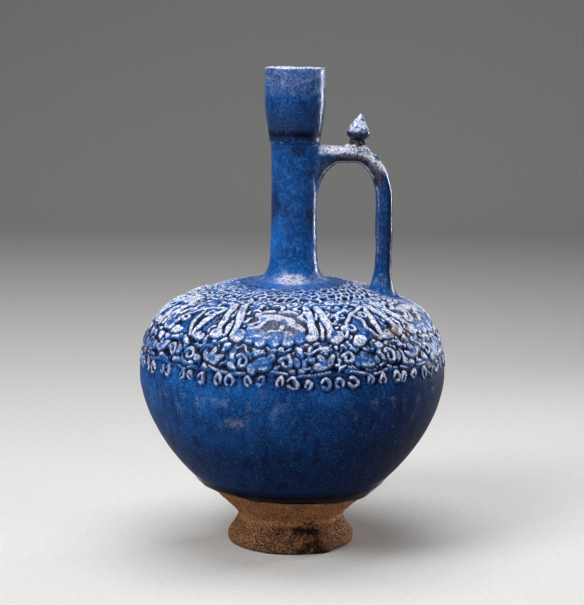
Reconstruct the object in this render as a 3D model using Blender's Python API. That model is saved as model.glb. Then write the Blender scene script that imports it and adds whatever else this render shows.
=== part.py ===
"""A globular pouring jug with a tall neck, a looped handle and a bud-shaped thumb rest.

It is built as a potter builds it: a flared foot, two moulded body halves, a neck, a mouth, a handle and a
bud are formed apart and luted together, with a coil or a pad of soft clay at each joint.

Frame: metres, +Z up. The origin is on the table, under the middle of the foot, and the handle is on +X.
"""

import math

import bmesh
import bpy
from mathutils import Vector

MM = 0.001

# Driving dimensions
HEIGHT = 290.0 * MM
BELLY_RADIUS = 92.8 * MM
SEAM_Z = 105.0 * MM
SHOULDER_RISE = 57.0 * MM
SHOULDER_FULLNESS = 2.65
BOWL_DROP = 90.6 * MM
BOWL_FULLNESS = 1.7
CAVITY_RADIUS = 86.0 * MM
CAVITY_RISE = 50.5 * MM
CAVITY_DROP = 78.0 * MM
CAVITY_FULLNESS_UP = 2.6
CAVITY_FULLNESS_DOWN = 1.9

FOOT_HEIGHT = 16.5 * MM
FOOT_RADIUS = 38.6 * MM
FOOT_WAIST_RADIUS = 31.5 * MM
FOOT_REST_RADIUS = 36.8 * MM
FOOT_HOLLOW_RADIUS = 29.5 * MM
FOOT_HOLLOW_TOP_RADIUS = 22.5 * MM

CONE_FOOT_RADIUS = 34.0 * MM
CONE_FOOT_Z = 20.7 * MM
CONE_TOP_RADIUS = 52.3 * MM
CONE_TOP_Z = 37.5 * MM
BELLY_FOOT_Z = 41.0 * MM

GLAZE_EDGE_Z = 35.2 * MM
GLAZE_ROLL_TOP_Z = 43.5 * MM
GLAZE_ROLL_THICKNESS = 1.7 * MM
GLAZE_ROLL_SWELL = 0.35
GLAZE_TILT = 1.2 * MM
GLAZE_WAVE = 0.25 * MM

NECK_HOLE_RADIUS = 10.5 * MM
NECK_BORE_RADIUS = 9.8 * MM
NECK_WAIST_RADIUS = 13.8 * MM
NECK_WAIST_Z = 209.0 * MM
NECK_TOP_Z = 246.3 * MM
NECK_TOP_FLARE = 0.8 * MM
NECK_FOOT_FLARE = 1.3 * MM
NECK_FILLET_TOP_Z = 183.0 * MM
NECK_FILLET_RADIUS = 31.0 * MM

COLLAR_Z = 246.5 * MM
COLLAR_HEIGHT = 3.8 * MM
COLLAR_RADIUS = 15.7 * MM

MOUTH_RADIUS = 18.2 * MM
MOUTH_FOOT_RADIUS = 15.0 * MM
MOUTH_SWELL_FROM_Z = 249.0 * MM
MOUTH_SWELL_TO_Z = 273.0 * MM
MOUTH_WALL = 3.5 * MM

HANDLE_X = 54.5 * MM
HANDLE_TOP_Z = 238.3 * MM
HANDLE_ARCH_FROM_X = 36.0 * MM
HANDLE_ARCH_TO_Z = 210.0 * MM
HANDLE_HALF_THICKNESS = 5.1 * MM
HANDLE_HALF_WIDTH = 6.4 * MM
HANDLE_SQUARENESS = 2.3

UPPER_ROOT_X = 28.0 * MM
UPPER_ROOT_TOP_Z = 244.1 * MM
UPPER_ROOT_BOTTOM_Z = 208.0 * MM
UPPER_ROOT_HALF_ANGLE = math.radians(36.0)
LOWER_ROOT_Z = 172.0 * MM
LOWER_ROOT_MIDDLE_X = 57.3 * MM
LOWER_ROOT_HALF_LENGTH = 11.8 * MM
LOWER_ROOT_HALF_WIDTH = 10.6 * MM

BUD_X = 37.6 * MM
BUD_TILT = math.radians(7.0)
BUD_RADIUS = 6.6 * MM
BUD_HEIGHT = 15.6 * MM
BUD_STEM_RADIUS = 3.7 * MM
BUD_KEEL_HEIGHT = 5.4 * MM
BUD_SIDES = 12
BUD_SEAT_HEIGHT = 3.2 * MM
BUD_SEAT_TOP_RADIUS = 4.5 * MM
BUD_SEAT_HALF_LENGTH = 7.2 * MM
BUD_SEAT_HALF_WIDTH = 5.2 * MM

# Moulded frieze: heights of its forms above the wall, and ways down the wall from the rim of the neck's fillet
FRIEZE_PERIODS = 9
FRIEZE_LEAVES_AT = math.radians(12.5)
FRIEZE_PANELS_AT = math.radians(-7.5)
FRIEZE_HARES = (0, 2, 4, 6)
FRIEZE_WAY = 45.0 * MM
FRIEZE_LEAF_RELIEF = 1.6 * MM
FRIEZE_FIGURE_RELIEF = 1.8 * MM
FRIEZE_BUDS = 36
FRIEZE_BUD_WAY = 70.6 * MM
FRIEZE_BUD_RELIEF = 1.3 * MM
FRIEZE_LOBES_AT = (-12.6, -6.3, 0.0, 6.3, 12.6)
FRIEZE_TOP_SHARE = 0.52
FRIEZE_KEY = 1.0 * MM
FRIEZE_CLEARANCE = 1.2 * MM

# The slip-filled seam that is left between two luted pieces
GAP = 0.3 * MM
FEATHER = 0.4 * MM

# Facets
BODY_SEGMENTS = 48
NECK_SEGMENTS = 32
OVAL_SEGMENTS = 16
BOSS_SIDES = 5

COBALT_GLAZE = (0.035, 0.10, 0.36, 1.0)
POOLED_GLAZE = (0.008, 0.012, 0.035, 1.0)
BUFF_FRIT = (0.43, 0.28, 0.17, 1.0)
PALE_SLIP = (0.62, 0.58, 0.55, 1.0)


# Outline formulas

def superellipse(radius, height, power, turn):
    """A point of a rounded quarter outline: turn runs from 0 on the belly to a quarter turn on the axis."""
    x = radius * max(math.cos(turn), 0.0) ** (2.0 / power)
    z = height * math.sin(turn) ** (2.0 / power)
    return x, z


def shoulder_z(radius):
    share = 1.0 - (radius / BELLY_RADIUS) ** SHOULDER_FULLNESS
    return SEAM_Z + SHOULDER_RISE * share ** (1.0 / SHOULDER_FULLNESS)


def bowl_radius(z):
    share = 1.0 - ((SEAM_Z - z) / BOWL_DROP) ** BOWL_FULLNESS
    return BELLY_RADIUS * share ** (1.0 / BOWL_FULLNESS)


def neck_radius(z):
    """The neck is drawn in at its waist and spreads a little towards both ends."""
    if z > NECK_WAIST_Z:
        share = (z - NECK_WAIST_Z) / (NECK_TOP_Z - NECK_WAIST_Z)
        return NECK_WAIST_RADIUS + NECK_TOP_FLARE * share ** 2
    share = (NECK_WAIST_Z - z) / (NECK_WAIST_Z - SEAM_Z - SHOULDER_RISE)
    return NECK_WAIST_RADIUS + NECK_FOOT_FLARE * share ** 2


def mouth_radius(z):
    share = (z - MOUTH_SWELL_FROM_Z) / (MOUTH_SWELL_TO_Z - MOUTH_SWELL_FROM_Z)
    share = min(max(share, 0.0), 1.0)
    return MOUTH_FOOT_RADIUS + (MOUTH_RADIUS - MOUTH_FOOT_RADIUS) * math.sin(share * math.pi / 2.0)


def spaced(start, end, count):
    """Evenly spaced values, both ends included."""
    return [start + (end - start) * i / (count - 1) for i in range(count)]


def bezier(first, first_handle, last_handle, last, count):
    """Points along a cubic curve in the profile plane."""
    points = []
    for t in spaced(0.0, 1.0, count):
        s = 1.0 - t
        weights = (s ** 3, 3 * s * s * t, 3 * s * t * t, t ** 3)
        corners = (first, first_handle, last_handle, last)
        points.append(tuple(sum(w * c[k] for w, c in zip(weights, corners)) for k in range(2)))
    return points


def arc(middle, radius, start_degrees, end_degrees, count):
    angles = [math.radians(a) for a in spaced(start_degrees, end_degrees, count)]
    return [(middle[0] + radius * math.cos(a), middle[1] + radius * math.sin(a)) for a in angles]


# Scene helpers

def clear_scene():
    for thing in list(bpy.data.objects):
        bpy.data.objects.remove(thing)


def ceramic(name, colour, roughness):
    material = bpy.data.materials.new(name)
    material.use_nodes = True
    shader = material.node_tree.nodes["Principled BSDF"]
    shader.inputs["Base Color"].default_value = colour
    shader.inputs["Roughness"].default_value = roughness
    shader.inputs["Metallic"].default_value = 0.0
    material.diffuse_color = colour
    return material


def finished(name, bm, material, sharp_degrees=40.0):
    """Turns a bmesh into a named, smooth-shaded object whose faces point outwards."""
    bmesh.ops.remove_doubles(bm, verts=bm.verts, dist=0.002 * MM)
    bmesh.ops.recalc_face_normals(bm, faces=bm.faces)
    mesh = bpy.data.meshes.new(name)
    bm.to_mesh(mesh)
    bm.free()
    mesh.shade_smooth()
    mesh.set_sharp_from_angle(angle=math.radians(sharp_degrees))
    mesh.materials.append(material)
    piece = bpy.data.objects.new(name, mesh)
    bpy.context.scene.collection.objects.link(piece)
    return piece


def turned(name, profile, material, segments, closed=True):
    """Spins an outline of (radius, height) points round the Z axis. An open one has its ends on the axis."""
    bm = bmesh.new()
    verts = [bm.verts.new((radius, 0.0, z)) for radius, z in profile]
    edges = [bm.edges.new(pair) for pair in zip(verts, verts[1:])]
    if closed:
        edges.append(bm.edges.new((verts[-1], verts[0])))
    bmesh.ops.spin(
        bm, geom=verts + edges, axis=(0, 0, 1), cent=(0, 0, 0), angle=math.tau, steps=segments, use_merge=True
    )
    return finished(name, bm, material)


def add_loft(bm, rings, endless=False):
    """Skins a stack of rings of equal count, and closes both ends or joins the last ring to the first."""
    loops = [[bm.verts.new(point) for point in ring] for ring in rings]
    if endless:
        loops.append(loops[0])
    else:
        bm.faces.new(loops[0])
        bm.faces.new(loops[-1])
    count = len(loops[0])
    for here, there in zip(loops, loops[1:]):
        for i in range(count):
            j = (i + 1) % count
            bm.faces.new((here[i], here[j], there[j], there[i]))


def lofted(name, rings, material, endless=False):
    bm = bmesh.new()
    add_loft(bm, rings, endless)
    return finished(name, bm, material)


def joined(piece, forms):
    """The bmesh of a closed piece with closed forms made one with it; neither object is kept."""
    union = piece.modifiers.new("union", "BOOLEAN")
    union.object = forms
    union.operation = "UNION"
    union.solver = "EXACT"
    union.use_self = True
    bm = bmesh.new()
    bm.from_object(piece, bpy.context.evaluated_depsgraph_get())
    bpy.data.objects.remove(piece)
    bpy.data.objects.remove(forms)
    return bm


def hermite(start, leaving, end, arriving, t):
    """A smooth way from start to end that leaves and arrives along the given vectors."""
    a = 2 * t ** 3 - 3 * t ** 2 + 1
    b = t ** 3 - 2 * t ** 2 + t
    c = t ** 2 * (3 - 2 * t)
    d = t ** 3 - t ** 2
    return start * a + leaving * b + end * c + arriving * d


def luted_root(name, top_ring, leaving, footprint, material, steps=8):
    """A root of soft clay: it leaves a ring of a slim piece and spreads until it lies along its host's skin.

    footprint(angle, share) is the point on the host at that share of the way from the middle to the edge.
    """
    angles = spaced(0.0, math.tau, len(top_ring) + 1)[:-1]
    rings = [[] for _ in range(steps + 1)]
    for start, angle in zip(top_ring, angles):
        edge = footprint(angle, 1.0)
        spread = (edge - footprint(angle, 0.8)).normalized()
        reach = (edge - start).length
        across = abs((edge - start).dot(spread))
        for ring, t in zip(rings, spaced(0.0, 1.0, steps + 1)):
            ring.append(hermite(start, leaving * reach, edge, spread * across * 1.3, t))
    for share in (0.66, 0.33):
        rings.append([footprint(angle, share) for angle in angles])
    return lofted(name, rings, material)


# Foot

def build_foot(material):
    """A flared ring, cut flat where it rests and open underneath up to the bowl."""
    top = FOOT_HEIGHT - GAP
    edge = 2.0 * MM
    flare = bezier(
        (FOOT_WAIST_RADIUS, top),
        (FOOT_WAIST_RADIUS + 0.4 * MM, top * 0.66),
        (FOOT_RADIUS - 0.4 * MM, top * 0.42),
        (FOOT_RADIUS, edge),
        5,
    )
    profile = flare + [(FOOT_RADIUS - 0.5 * MM, edge * 0.35), (FOOT_REST_RADIUS, 0.0)]
    profile += bezier(
        (FOOT_HOLLOW_RADIUS, 0.0),
        (FOOT_HOLLOW_RADIUS - 1.5 * MM, top * 0.4),
        (FOOT_HOLLOW_TOP_RADIUS, top * 0.7),
        (FOOT_HOLLOW_TOP_RADIUS, top),
        3,
    )
    return turned("foot", profile, material, BODY_SEGMENTS)


# Body halves

def cone_radius(z):
    """The bare cone spreads evenly from the waist up to the belly."""
    share = (z - CONE_FOOT_Z) / (CONE_TOP_Z - CONE_FOOT_Z)
    return CONE_FOOT_RADIUS + (CONE_TOP_RADIUS - CONE_FOOT_RADIUS) * share


def bowl_outline():
    """From the seam down the belly, in along the bare cone and down to the waist."""
    belly = [(bowl_radius(z), z) for z in spaced(SEAM_Z - GAP / 2.0, BELLY_FOOT_Z, 10)]
    cone = [(CONE_TOP_RADIUS, CONE_TOP_Z), (CONE_FOOT_RADIUS, CONE_FOOT_Z)]
    return belly + cone + [(FOOT_WAIST_RADIUS, FOOT_HEIGHT)]


def build_lower_bowl(material):
    """The plain lower half, thick at the bottom and thinner up the wall."""
    inside = []
    for turn in spaced(math.pi / 2.0, 0.0, 9):
        radius, drop = superellipse(CAVITY_RADIUS, CAVITY_DROP, CAVITY_FULLNESS_DOWN, turn)
        inside.append((radius, SEAM_Z - GAP / 2.0 - drop))
    inside[0] = (0.0, inside[0][1])
    profile = bowl_outline() + [(0.0, FOOT_HEIGHT)]
    return turned("lower_bowl", profile[::-1] + inside[::-1], material, BODY_SEGMENTS, closed=False)


def shoulder_outline(end_radius, count):
    """Points of the dome from the seam up to a radius."""
    end = math.acos((end_radius / BELLY_RADIUS) ** (SHOULDER_FULLNESS / 2.0))
    outline = []
    for turn in spaced(0.0, end, count):
        radius, rise = superellipse(BELLY_RADIUS, SHOULDER_RISE, SHOULDER_FULLNESS, turn)
        outline.append((radius, SEAM_Z + GAP / 2.0 + rise))
    return outline


def wall_at(way):
    """Point of the dome's outline, and the direction out of it, at a way down from the fillet's rim."""
    outline = [Vector(point) for point in shoulder_outline(NECK_FILLET_RADIUS, 60)[::-1]]
    for here, there in zip(outline, outline[1:]):
        length = (there - here).length
        if way <= length:
            break
        way -= length
    along = (there - here) / length
    return here + along * way, Vector((-along.y, along.x))


def ridge(path, top):
    """Rings of a raised stem or leaf, flat on top, along (x, y, half-width) stations in millimetres."""
    places = [Vector((x, y)) * MM for x, y, _ in path]
    rings = []
    for i, (place, (_, _, half)) in enumerate(zip(places, path)):
        along = (places[min(i + 1, len(path) - 1)] - places[max(i - 1, 0)]).normalized()
        side = Vector((-along.y, along.x)) * half * MM
        top_side = side * FRIEZE_TOP_SHARE
        ring = [(place - side, -FRIEZE_KEY), (place - top_side, top), (place + top_side, top)]
        rings.append(ring + [(place + side, -FRIEZE_KEY)])
    return rings


def boss(x, y, half_x, half_y):
    """Rings of a raised oval bud, in millimetres: its base in the wall and its smaller top."""
    rings = []
    for share, height in ((1.0, -FRIEZE_KEY), (FRIEZE_TOP_SHARE, FRIEZE_BUD_RELIEF)):
        ring = []
        for turn in spaced(0.0, math.tau, BOSS_SIDES + 1)[:-1]:
            reach = Vector((half_x * math.cos(turn), half_y * math.sin(turn))) * share
            ring.append(((Vector((x, y)) + reach) * MM, height))
        rings.append(ring)
    return rings


def leaf_pair():
    """Two tall leaves that end below in a bulb."""
    left = [(-8.4, -15.4, 0.9), (-7.8, -9, 2.8), (-6.8, -1, 3), (-5.8, 6, 2.5), (-5.8, 11, 4), (-5.8, 14.6, 1.6)]
    right = [(-0.4, -15.8, 0.9), (1, -8, 2.8), (2.8, 0, 3), (4.2, 6, 2.6), (5.6, 11, 4.8), (6, 15.2, 2)]
    return [ridge(left, FRIEZE_LEAF_RELIEF), ridge(right, FRIEZE_LEAF_RELIEF)]


def hare_panel():
    """A running hare over a row of hanging lobes."""
    body = [(-12.6, -7.6, 1.4), (-8.5, -5, 2.9), (-2, -4.6, 3), (5, -2.4, 3), (11.6, 4.8, 1.2)]
    ear = [(-9.5, -7.2, 1.6), (-2.5, -10, 1.2)]
    fore_leg = [(-6, -3, 1.9), (-12, 3, 1.3)]
    hind_leg = [(4, -0.5, 1.9), (-2.5, 4.6, 1.3)]
    figure = [ridge(path, FRIEZE_FIGURE_RELIEF) for path in (body, ear, fore_leg, hind_leg)]
    return figure + [boss(x, 12.4, 3, 4.2) for x in FRIEZE_LOBES_AT]


def arched_panel():
    """A wavy stem under a long sweeping one and beside a tall one."""
    sweep = [(-14, 9, 1.2), (-11.4, -1, 1.9), (-3.5, -8.4, 2), (5, -11.6, 1.9), (12.4, -13.2, 1)]
    tall = [(12.6, -9.4, 1.4), (9.6, -3, 2.3), (8, 4, 2.5), (8, 12, 1.6)]
    wavy = [(-3.5, -3.5, 1.2), (-1.5, 0.5, 1.8), (-2, 6, 1.8), (0, 12.6, 1.1)]
    return [ridge(path, FRIEZE_FIGURE_RELIEF) for path in (sweep, tall, wavy)]


def clear_of_root(point):
    """Whether a point lies outside the plain wall that is left round the handle's lower root."""
    along = (point[0] - LOWER_ROOT_MIDDLE_X) / (LOWER_ROOT_HALF_LENGTH + FRIEZE_CLEARANCE)
    across = point[1] / (LOWER_ROOT_HALF_WIDTH + FRIEZE_CLEARANCE)
    return math.hypot(along, across) > 1.0


def bent_round(ring, middle_angle, middle_way):
    """A ring of (place, height) pairs, bent round the wall about a middle."""
    middle_radius = wall_at(middle_way)[0].x
    points = []
    for place, height in ring:
        foot, out = wall_at(middle_way + place.y)
        corner = foot + out * height
        angle = middle_angle + place.x / middle_radius
        points.append((corner.x * math.sin(angle), -corner.x * math.cos(angle), corner.y))
    return points


def frieze_forms(material):
    """All forms of the frieze, keyed into the wall. What would touch the handle's lower root is left out."""
    placed = []
    for i in range(FRIEZE_PERIODS):
        turn = math.tau / FRIEZE_PERIODS * i
        panel = hare_panel() if i in FRIEZE_HARES else arched_panel()
        placed += [(rings, FRIEZE_LEAVES_AT + turn, FRIEZE_WAY) for rings in leaf_pair()]
        placed += [(rings, FRIEZE_PANELS_AT + turn, FRIEZE_WAY) for rings in panel]
    for i in range(FRIEZE_BUDS):
        placed.append((boss(0, 0, 5.2, 4.2), math.tau / FRIEZE_BUDS * i, FRIEZE_BUD_WAY))
    bm = bmesh.new()
    for rings, angle, way in placed:
        stack = [bent_round(ring, angle, way) for ring in rings]
        if all(clear_of_root(point) for ring in stack for point in ring):
            add_loft(bm, stack)
    return finished("frieze_forms", bm, material)


def build_shoulder(material):
    """The moulded upper half, a dome with the frieze on it and a round hole where the neck stands."""
    inner_end = math.acos((NECK_HOLE_RADIUS / CAVITY_RADIUS) ** (CAVITY_FULLNESS_UP / 2.0))
    inside = []
    for turn in spaced(inner_end, 0.0, 8):
        radius, rise = superellipse(CAVITY_RADIUS, CAVITY_RISE, CAVITY_FULLNESS_UP, turn)
        inside.append((radius, SEAM_Z + GAP / 2.0 + rise))
    dome = turned("dome", shoulder_outline(NECK_HOLE_RADIUS, 10) + inside, material, BODY_SEGMENTS)
    return finished("shoulder", joined(dome, frieze_forms(material)), material)


def build_belly_coil(material):
    """A coil of clay smeared over the inside of the seam between the two halves."""
    outer = CAVITY_RADIUS - 2.0 * GAP
    half_height = 4.5 * MM
    thickness = 2.4 * MM
    bulge = [
        (outer - thickness * math.cos(angle), SEAM_Z + half_height * math.sin(angle))
        for angle in spaced(math.pi / 2.0, -math.pi / 2.0, 5)
    ]
    return turned("belly_coil", bulge, material, BODY_SEGMENTS)


def build_glaze_roll(material):
    """The thick roll in which the glaze stopped above the bare cone. It lies from the belly down on the cone,
    its edge runs a little out of level, and it is thickest on the handle's side, where the glaze ran.
    """
    top = Vector((bowl_radius(GLAZE_ROLL_TOP_Z), GLAZE_ROLL_TOP_Z))
    bead = bezier((0.0, 0.0), (-0.15, 1.25), (0.5, 1.25), (1.0, 0.2), 6) + [(1.0, 0.0)]
    rings = []
    for angle in spaced(0.0, math.tau, BODY_SEGMENTS + 1)[:-1]:
        run = math.cos(angle + 0.6)
        edge_z = GLAZE_EDGE_Z - GLAZE_TILT * run + GLAZE_WAVE * (math.sin(5 * angle) + math.cos(9 * angle))
        edge = Vector((cone_radius(edge_z), edge_z))
        along = top - edge
        outward = Vector((along.y, -along.x)).normalized()
        thickness = GLAZE_ROLL_THICKNESS * (1.0 + GLAZE_ROLL_SWELL * run)
        points = [edge + along * up + outward * (thickness * out + 2.0 * GAP) for up, out in bead]
        rings.append([Vector((p.x * math.cos(angle), p.x * math.sin(angle), p.y)) for p in points])
    return lofted("glaze_roll", rings, material, endless=True)


# Neck and mouth

def build_neck(material):
    """A thrown tube that stands on the crown of the shoulder, round the hole."""
    foot = SEAM_Z + SHOULDER_RISE + GAP
    outside = [(neck_radius(z), z) for z in spaced(foot, NECK_TOP_Z, 8)]
    inside = [(NECK_BORE_RADIUS, NECK_TOP_Z), (NECK_BORE_RADIUS, NECK_WAIST_Z), (NECK_HOLE_RADIUS, foot)]
    return turned("neck", outside + inside, material, NECK_SEGMENTS)


def build_neck_fillet(material):
    """The coil of clay that was smoothed into a trumpet round the foot of the neck."""
    top_radius = neck_radius(NECK_FILLET_TOP_Z) + GAP
    rim_z = shoulder_z(NECK_FILLET_RADIUS) + GAP
    corner_z = SEAM_Z + SHOULDER_RISE + GAP
    flare = bezier(
        (top_radius + FEATHER, NECK_FILLET_TOP_Z),
        (top_radius + FEATHER, NECK_FILLET_TOP_Z - 14.0 * MM),
        (NECK_FILLET_RADIUS - 12.5 * MM, rim_z + FEATHER + 1.2 * MM),
        (NECK_FILLET_RADIUS, rim_z + FEATHER),
        9,
    )
    corner_radius = neck_radius(corner_z) + GAP
    seat = [(radius, shoulder_z(radius) + GAP) for radius in spaced(NECK_FILLET_RADIUS, corner_radius, 4)]
    sleeve = [(neck_radius(z) + GAP, z) for z in spaced(corner_z, NECK_FILLET_TOP_Z, 3)[1:]]
    return turned("neck_fillet", flare + seat + sleeve, material, NECK_SEGMENTS)


def build_collar(material):
    """A thin ring of clay that closes the joint between neck and mouth."""
    inner = neck_radius(NECK_TOP_Z) + GAP
    bulge = COLLAR_RADIUS - inner
    section = [
        (inner + bulge * max(math.cos(angle), 0.0) ** 0.5, COLLAR_Z + COLLAR_HEIGHT / 2.0 * math.sin(angle))
        for angle in spaced(-math.pi / 2.0, math.pi / 2.0, 6)
    ]
    return turned("collar_ring", section, material, NECK_SEGMENTS)


def build_mouth(material):
    """The upper tube swells from the collar to a plain rounded lip."""
    foot = NECK_TOP_Z + GAP
    lip = MOUTH_WALL / 2.0
    lip_middle = (MOUTH_RADIUS - lip, HEIGHT - lip)
    outside = [(MOUTH_FOOT_RADIUS - 2 * GAP, foot), (MOUTH_FOOT_RADIUS - GAP, COLLAR_Z + COLLAR_HEIGHT / 2.0)]
    outside += [(mouth_radius(z), z) for z in spaced(MOUTH_SWELL_FROM_Z + 1.0 * MM, MOUTH_SWELL_TO_Z, 6)]
    inside_foot_z = MOUTH_SWELL_FROM_Z + 6.0 * MM
    inside = [(mouth_radius(z) - MOUTH_WALL, z) for z in spaced(MOUTH_SWELL_TO_Z, inside_foot_z, 3)]
    profile = outside + arc(lip_middle, lip, 0.0, 180.0, 5) + inside + [(NECK_BORE_RADIUS, foot)]
    return turned("mouth", profile, material, NECK_SEGMENTS)


# Handle and thumb rest

def handle_path():
    """Middle points from the upper root over the arch and down to the lower root."""
    points = [(UPPER_ROOT_X + GAP, HANDLE_TOP_Z), (HANDLE_ARCH_FROM_X - 3.5 * MM, HANDLE_TOP_Z)]
    for turn in spaced(math.pi / 2.0, 0.0, 10):
        points.append(
            (
                HANDLE_ARCH_FROM_X + (HANDLE_X - HANDLE_ARCH_FROM_X) * math.cos(turn),
                HANDLE_ARCH_TO_Z + (HANDLE_TOP_Z - HANDLE_ARCH_TO_Z) * math.sin(turn),
            )
        )
    points += [(HANDLE_X, z) for z in spaced(HANDLE_ARCH_TO_Z, LOWER_ROOT_Z + GAP, 4)[1:]]
    return points


def oval(middle, thick_way, wide_way):
    """A rounded-square ring about a middle point: thick_way and wide_way are its half-axes."""
    ring = []
    for angle in spaced(0.0, math.tau, OVAL_SEGMENTS + 1)[:-1]:
        power = 2.0 / HANDLE_SQUARENESS
        c = math.copysign(abs(math.cos(angle)) ** power, math.cos(angle))
        s = math.copysign(abs(math.sin(angle)) ** power, math.sin(angle))
        ring.append(middle + thick_way * c + wide_way * s)
    return ring


WIDE_WAY = Vector((0.0, HANDLE_HALF_WIDTH, 0.0))


def build_handle(material):
    path = [Vector((x, 0.0, z)) for x, z in handle_path()]
    rings = []
    for i, middle in enumerate(path):
        ahead = path[min(i + 1, len(path) - 1)] - path[max(i - 1, 0)]
        ahead.normalize()
        outward = Vector((-ahead.z, 0.0, ahead.x))
        rings.append(oval(middle, outward * HANDLE_HALF_THICKNESS, WIDE_WAY))
    return lofted("handle", rings, material)


def build_upper_root(material):
    """The handle's upper end spreads down the back of the neck, below the collar."""
    middle_z = (UPPER_ROOT_TOP_Z + UPPER_ROOT_BOTTOM_Z) / 2.0
    half_height = (UPPER_ROOT_TOP_Z - UPPER_ROOT_BOTTOM_Z) / 2.0

    def footprint(angle, share):
        z = middle_z + half_height * math.cos(angle) * share
        turn = UPPER_ROOT_HALF_ANGLE * math.sin(angle) * share
        radius = neck_radius(z) + GAP
        return Vector((radius * math.cos(turn), radius * math.sin(turn), z))

    middle = Vector((UPPER_ROOT_X, 0.0, HANDLE_TOP_Z))
    ring = oval(middle, Vector((0.0, 0.0, HANDLE_HALF_THICKNESS)), WIDE_WAY)
    return luted_root("handle_upper_root", ring, Vector((-1.0, 0.0, 0.0)), footprint, material)


def build_lower_root(material):
    """The handle's lower end is pressed out into a pad on the shoulder."""

    def footprint(angle, share):
        x = LOWER_ROOT_MIDDLE_X + LOWER_ROOT_HALF_LENGTH * math.cos(angle) * share
        y = LOWER_ROOT_HALF_WIDTH * math.sin(angle) * share
        return Vector((x, y, shoulder_z(math.hypot(x, y)) + GAP))

    middle = Vector((HANDLE_X, 0.0, LOWER_ROOT_Z))
    ring = oval(middle, Vector((HANDLE_HALF_THICKNESS, 0.0, 0.0)), WIDE_WAY)
    return luted_root("handle_lower_root", ring, Vector((0.0, 0.0, -1.0)), footprint, material)


def handle_top_z(x, y):
    """Height of the handle's upper skin above a point near the start of the arch."""
    share = max(x - HANDLE_ARCH_FROM_X, 0.0) / (HANDLE_X - HANDLE_ARCH_FROM_X)
    rise = HANDLE_TOP_Z - HANDLE_ARCH_TO_Z
    crown = HANDLE_ARCH_TO_Z + rise * math.sqrt(1.0 - share ** 2)
    side = 1.0 - (abs(y) / HANDLE_HALF_WIDTH) ** HANDLE_SQUARENESS
    slope = rise / (HANDLE_X - HANDLE_ARCH_FROM_X) * share / math.sqrt(1.0 - share ** 2)
    return crown + HANDLE_HALF_THICKNESS * side ** (1.0 / HANDLE_SQUARENESS) * math.hypot(1.0, slope)


def bud_base():
    lift = GAP + BUD_SEAT_HEIGHT
    return Vector((BUD_X, 0.0, HANDLE_TOP_Z + HANDLE_HALF_THICKNESS + lift))


def build_bud_seat(material):
    """A low mound of clay that beds the bud on the handle."""

    def footprint(angle, share):
        x = BUD_X + BUD_SEAT_HALF_LENGTH * math.cos(angle) * share
        y = BUD_SEAT_HALF_WIDTH * math.sin(angle) * share
        return Vector((x, y, handle_top_z(x, y) + 2.0 * GAP))

    level = Vector((math.cos(BUD_TILT), 0.0, -math.sin(BUD_TILT)))
    ring = [
        bud_base() + level * BUD_SEAT_TOP_RADIUS * math.cos(angle)
        + Vector((0.0, BUD_SEAT_TOP_RADIUS * math.sin(angle), 0.0))
        for angle in spaced(0.0, math.tau, OVAL_SEGMENTS + 1)[:-1]
    ]
    down = Vector((-math.sin(BUD_TILT), 0.0, -math.cos(BUD_TILT)))
    return luted_root("bud_seat", ring, down * 0.6, footprint, material, steps=4)


def build_bud(material):
    """The thumb rest: a pointed bud, cut in soft facets, on a short stem."""
    stem = 0.9 * MM
    profile = [(0.0, 0.0), (BUD_STEM_RADIUS, 0.0), (BUD_STEM_RADIUS - 0.3 * MM, stem)]
    profile += bezier(
        (BUD_RADIUS - 1.6 * MM, stem + 1.2 * MM),
        (BUD_RADIUS - 0.4 * MM, BUD_KEEL_HEIGHT * 0.7),
        (BUD_RADIUS, BUD_KEEL_HEIGHT * 0.9),
        (BUD_RADIUS, BUD_KEEL_HEIGHT),
        4,
    )
    profile += bezier(
        (BUD_RADIUS - 0.4 * MM, BUD_KEEL_HEIGHT + 0.9 * MM),
        (BUD_RADIUS * 0.68, BUD_KEEL_HEIGHT + 4.0 * MM),
        (BUD_RADIUS * 0.30, BUD_HEIGHT - 2.0 * MM),
        (0.0, BUD_HEIGHT),
        7,
    )
    bud = turned("bud", profile, material, BUD_SIDES, closed=False)
    up = Vector((math.sin(BUD_TILT), 0.0, math.cos(BUD_TILT)))
    bud.location = bud_base() + up * GAP
    bud.rotation_euler = (0.0, BUD_TILT, 0.0)
    return bud


def main():
    clear_scene()
    cobalt = ceramic("cobalt_glaze", COBALT_GLAZE, 0.35)
    pooled = ceramic("pooled_glaze", POOLED_GLAZE, 0.15)
    buff = ceramic("buff_frit", BUFF_FRIT, 0.9)
    slip = ceramic("pale_slip", PALE_SLIP, 0.8)
    build_foot(buff)
    build_lower_bowl(cobalt)
    build_glaze_roll(pooled)
    build_belly_coil(slip)
    build_shoulder(cobalt)
    build_neck(cobalt)
    build_neck_fillet(cobalt)
    build_collar(cobalt)
    build_mouth(cobalt)
    build_upper_root(cobalt)
    build_handle(cobalt)
    build_lower_root(cobalt)
    build_bud_seat(cobalt)
    build_bud(cobalt)


main()
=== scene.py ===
# %% [markdown]
# # A moulded jug under a cobalt glaze
#
# The jug is stonepaste, a clay of ground quartz, made in parts: a foot, two halves of a body pressed in
# moulds, a neck, a mouth and a looped handle with a bud for the thumb. One cobalt glaze covers it down to
# a bare foot. The CAD model of those parts is loaded first and stays where it is. Each piece below is a
# surface worked out with numpy over the same place, fine enough to carry the relief, the runs of glaze and
# the wear.

# %% Load the CAD model
import math

import bpy
import numpy as np
from mathutils import Matrix, Vector


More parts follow.
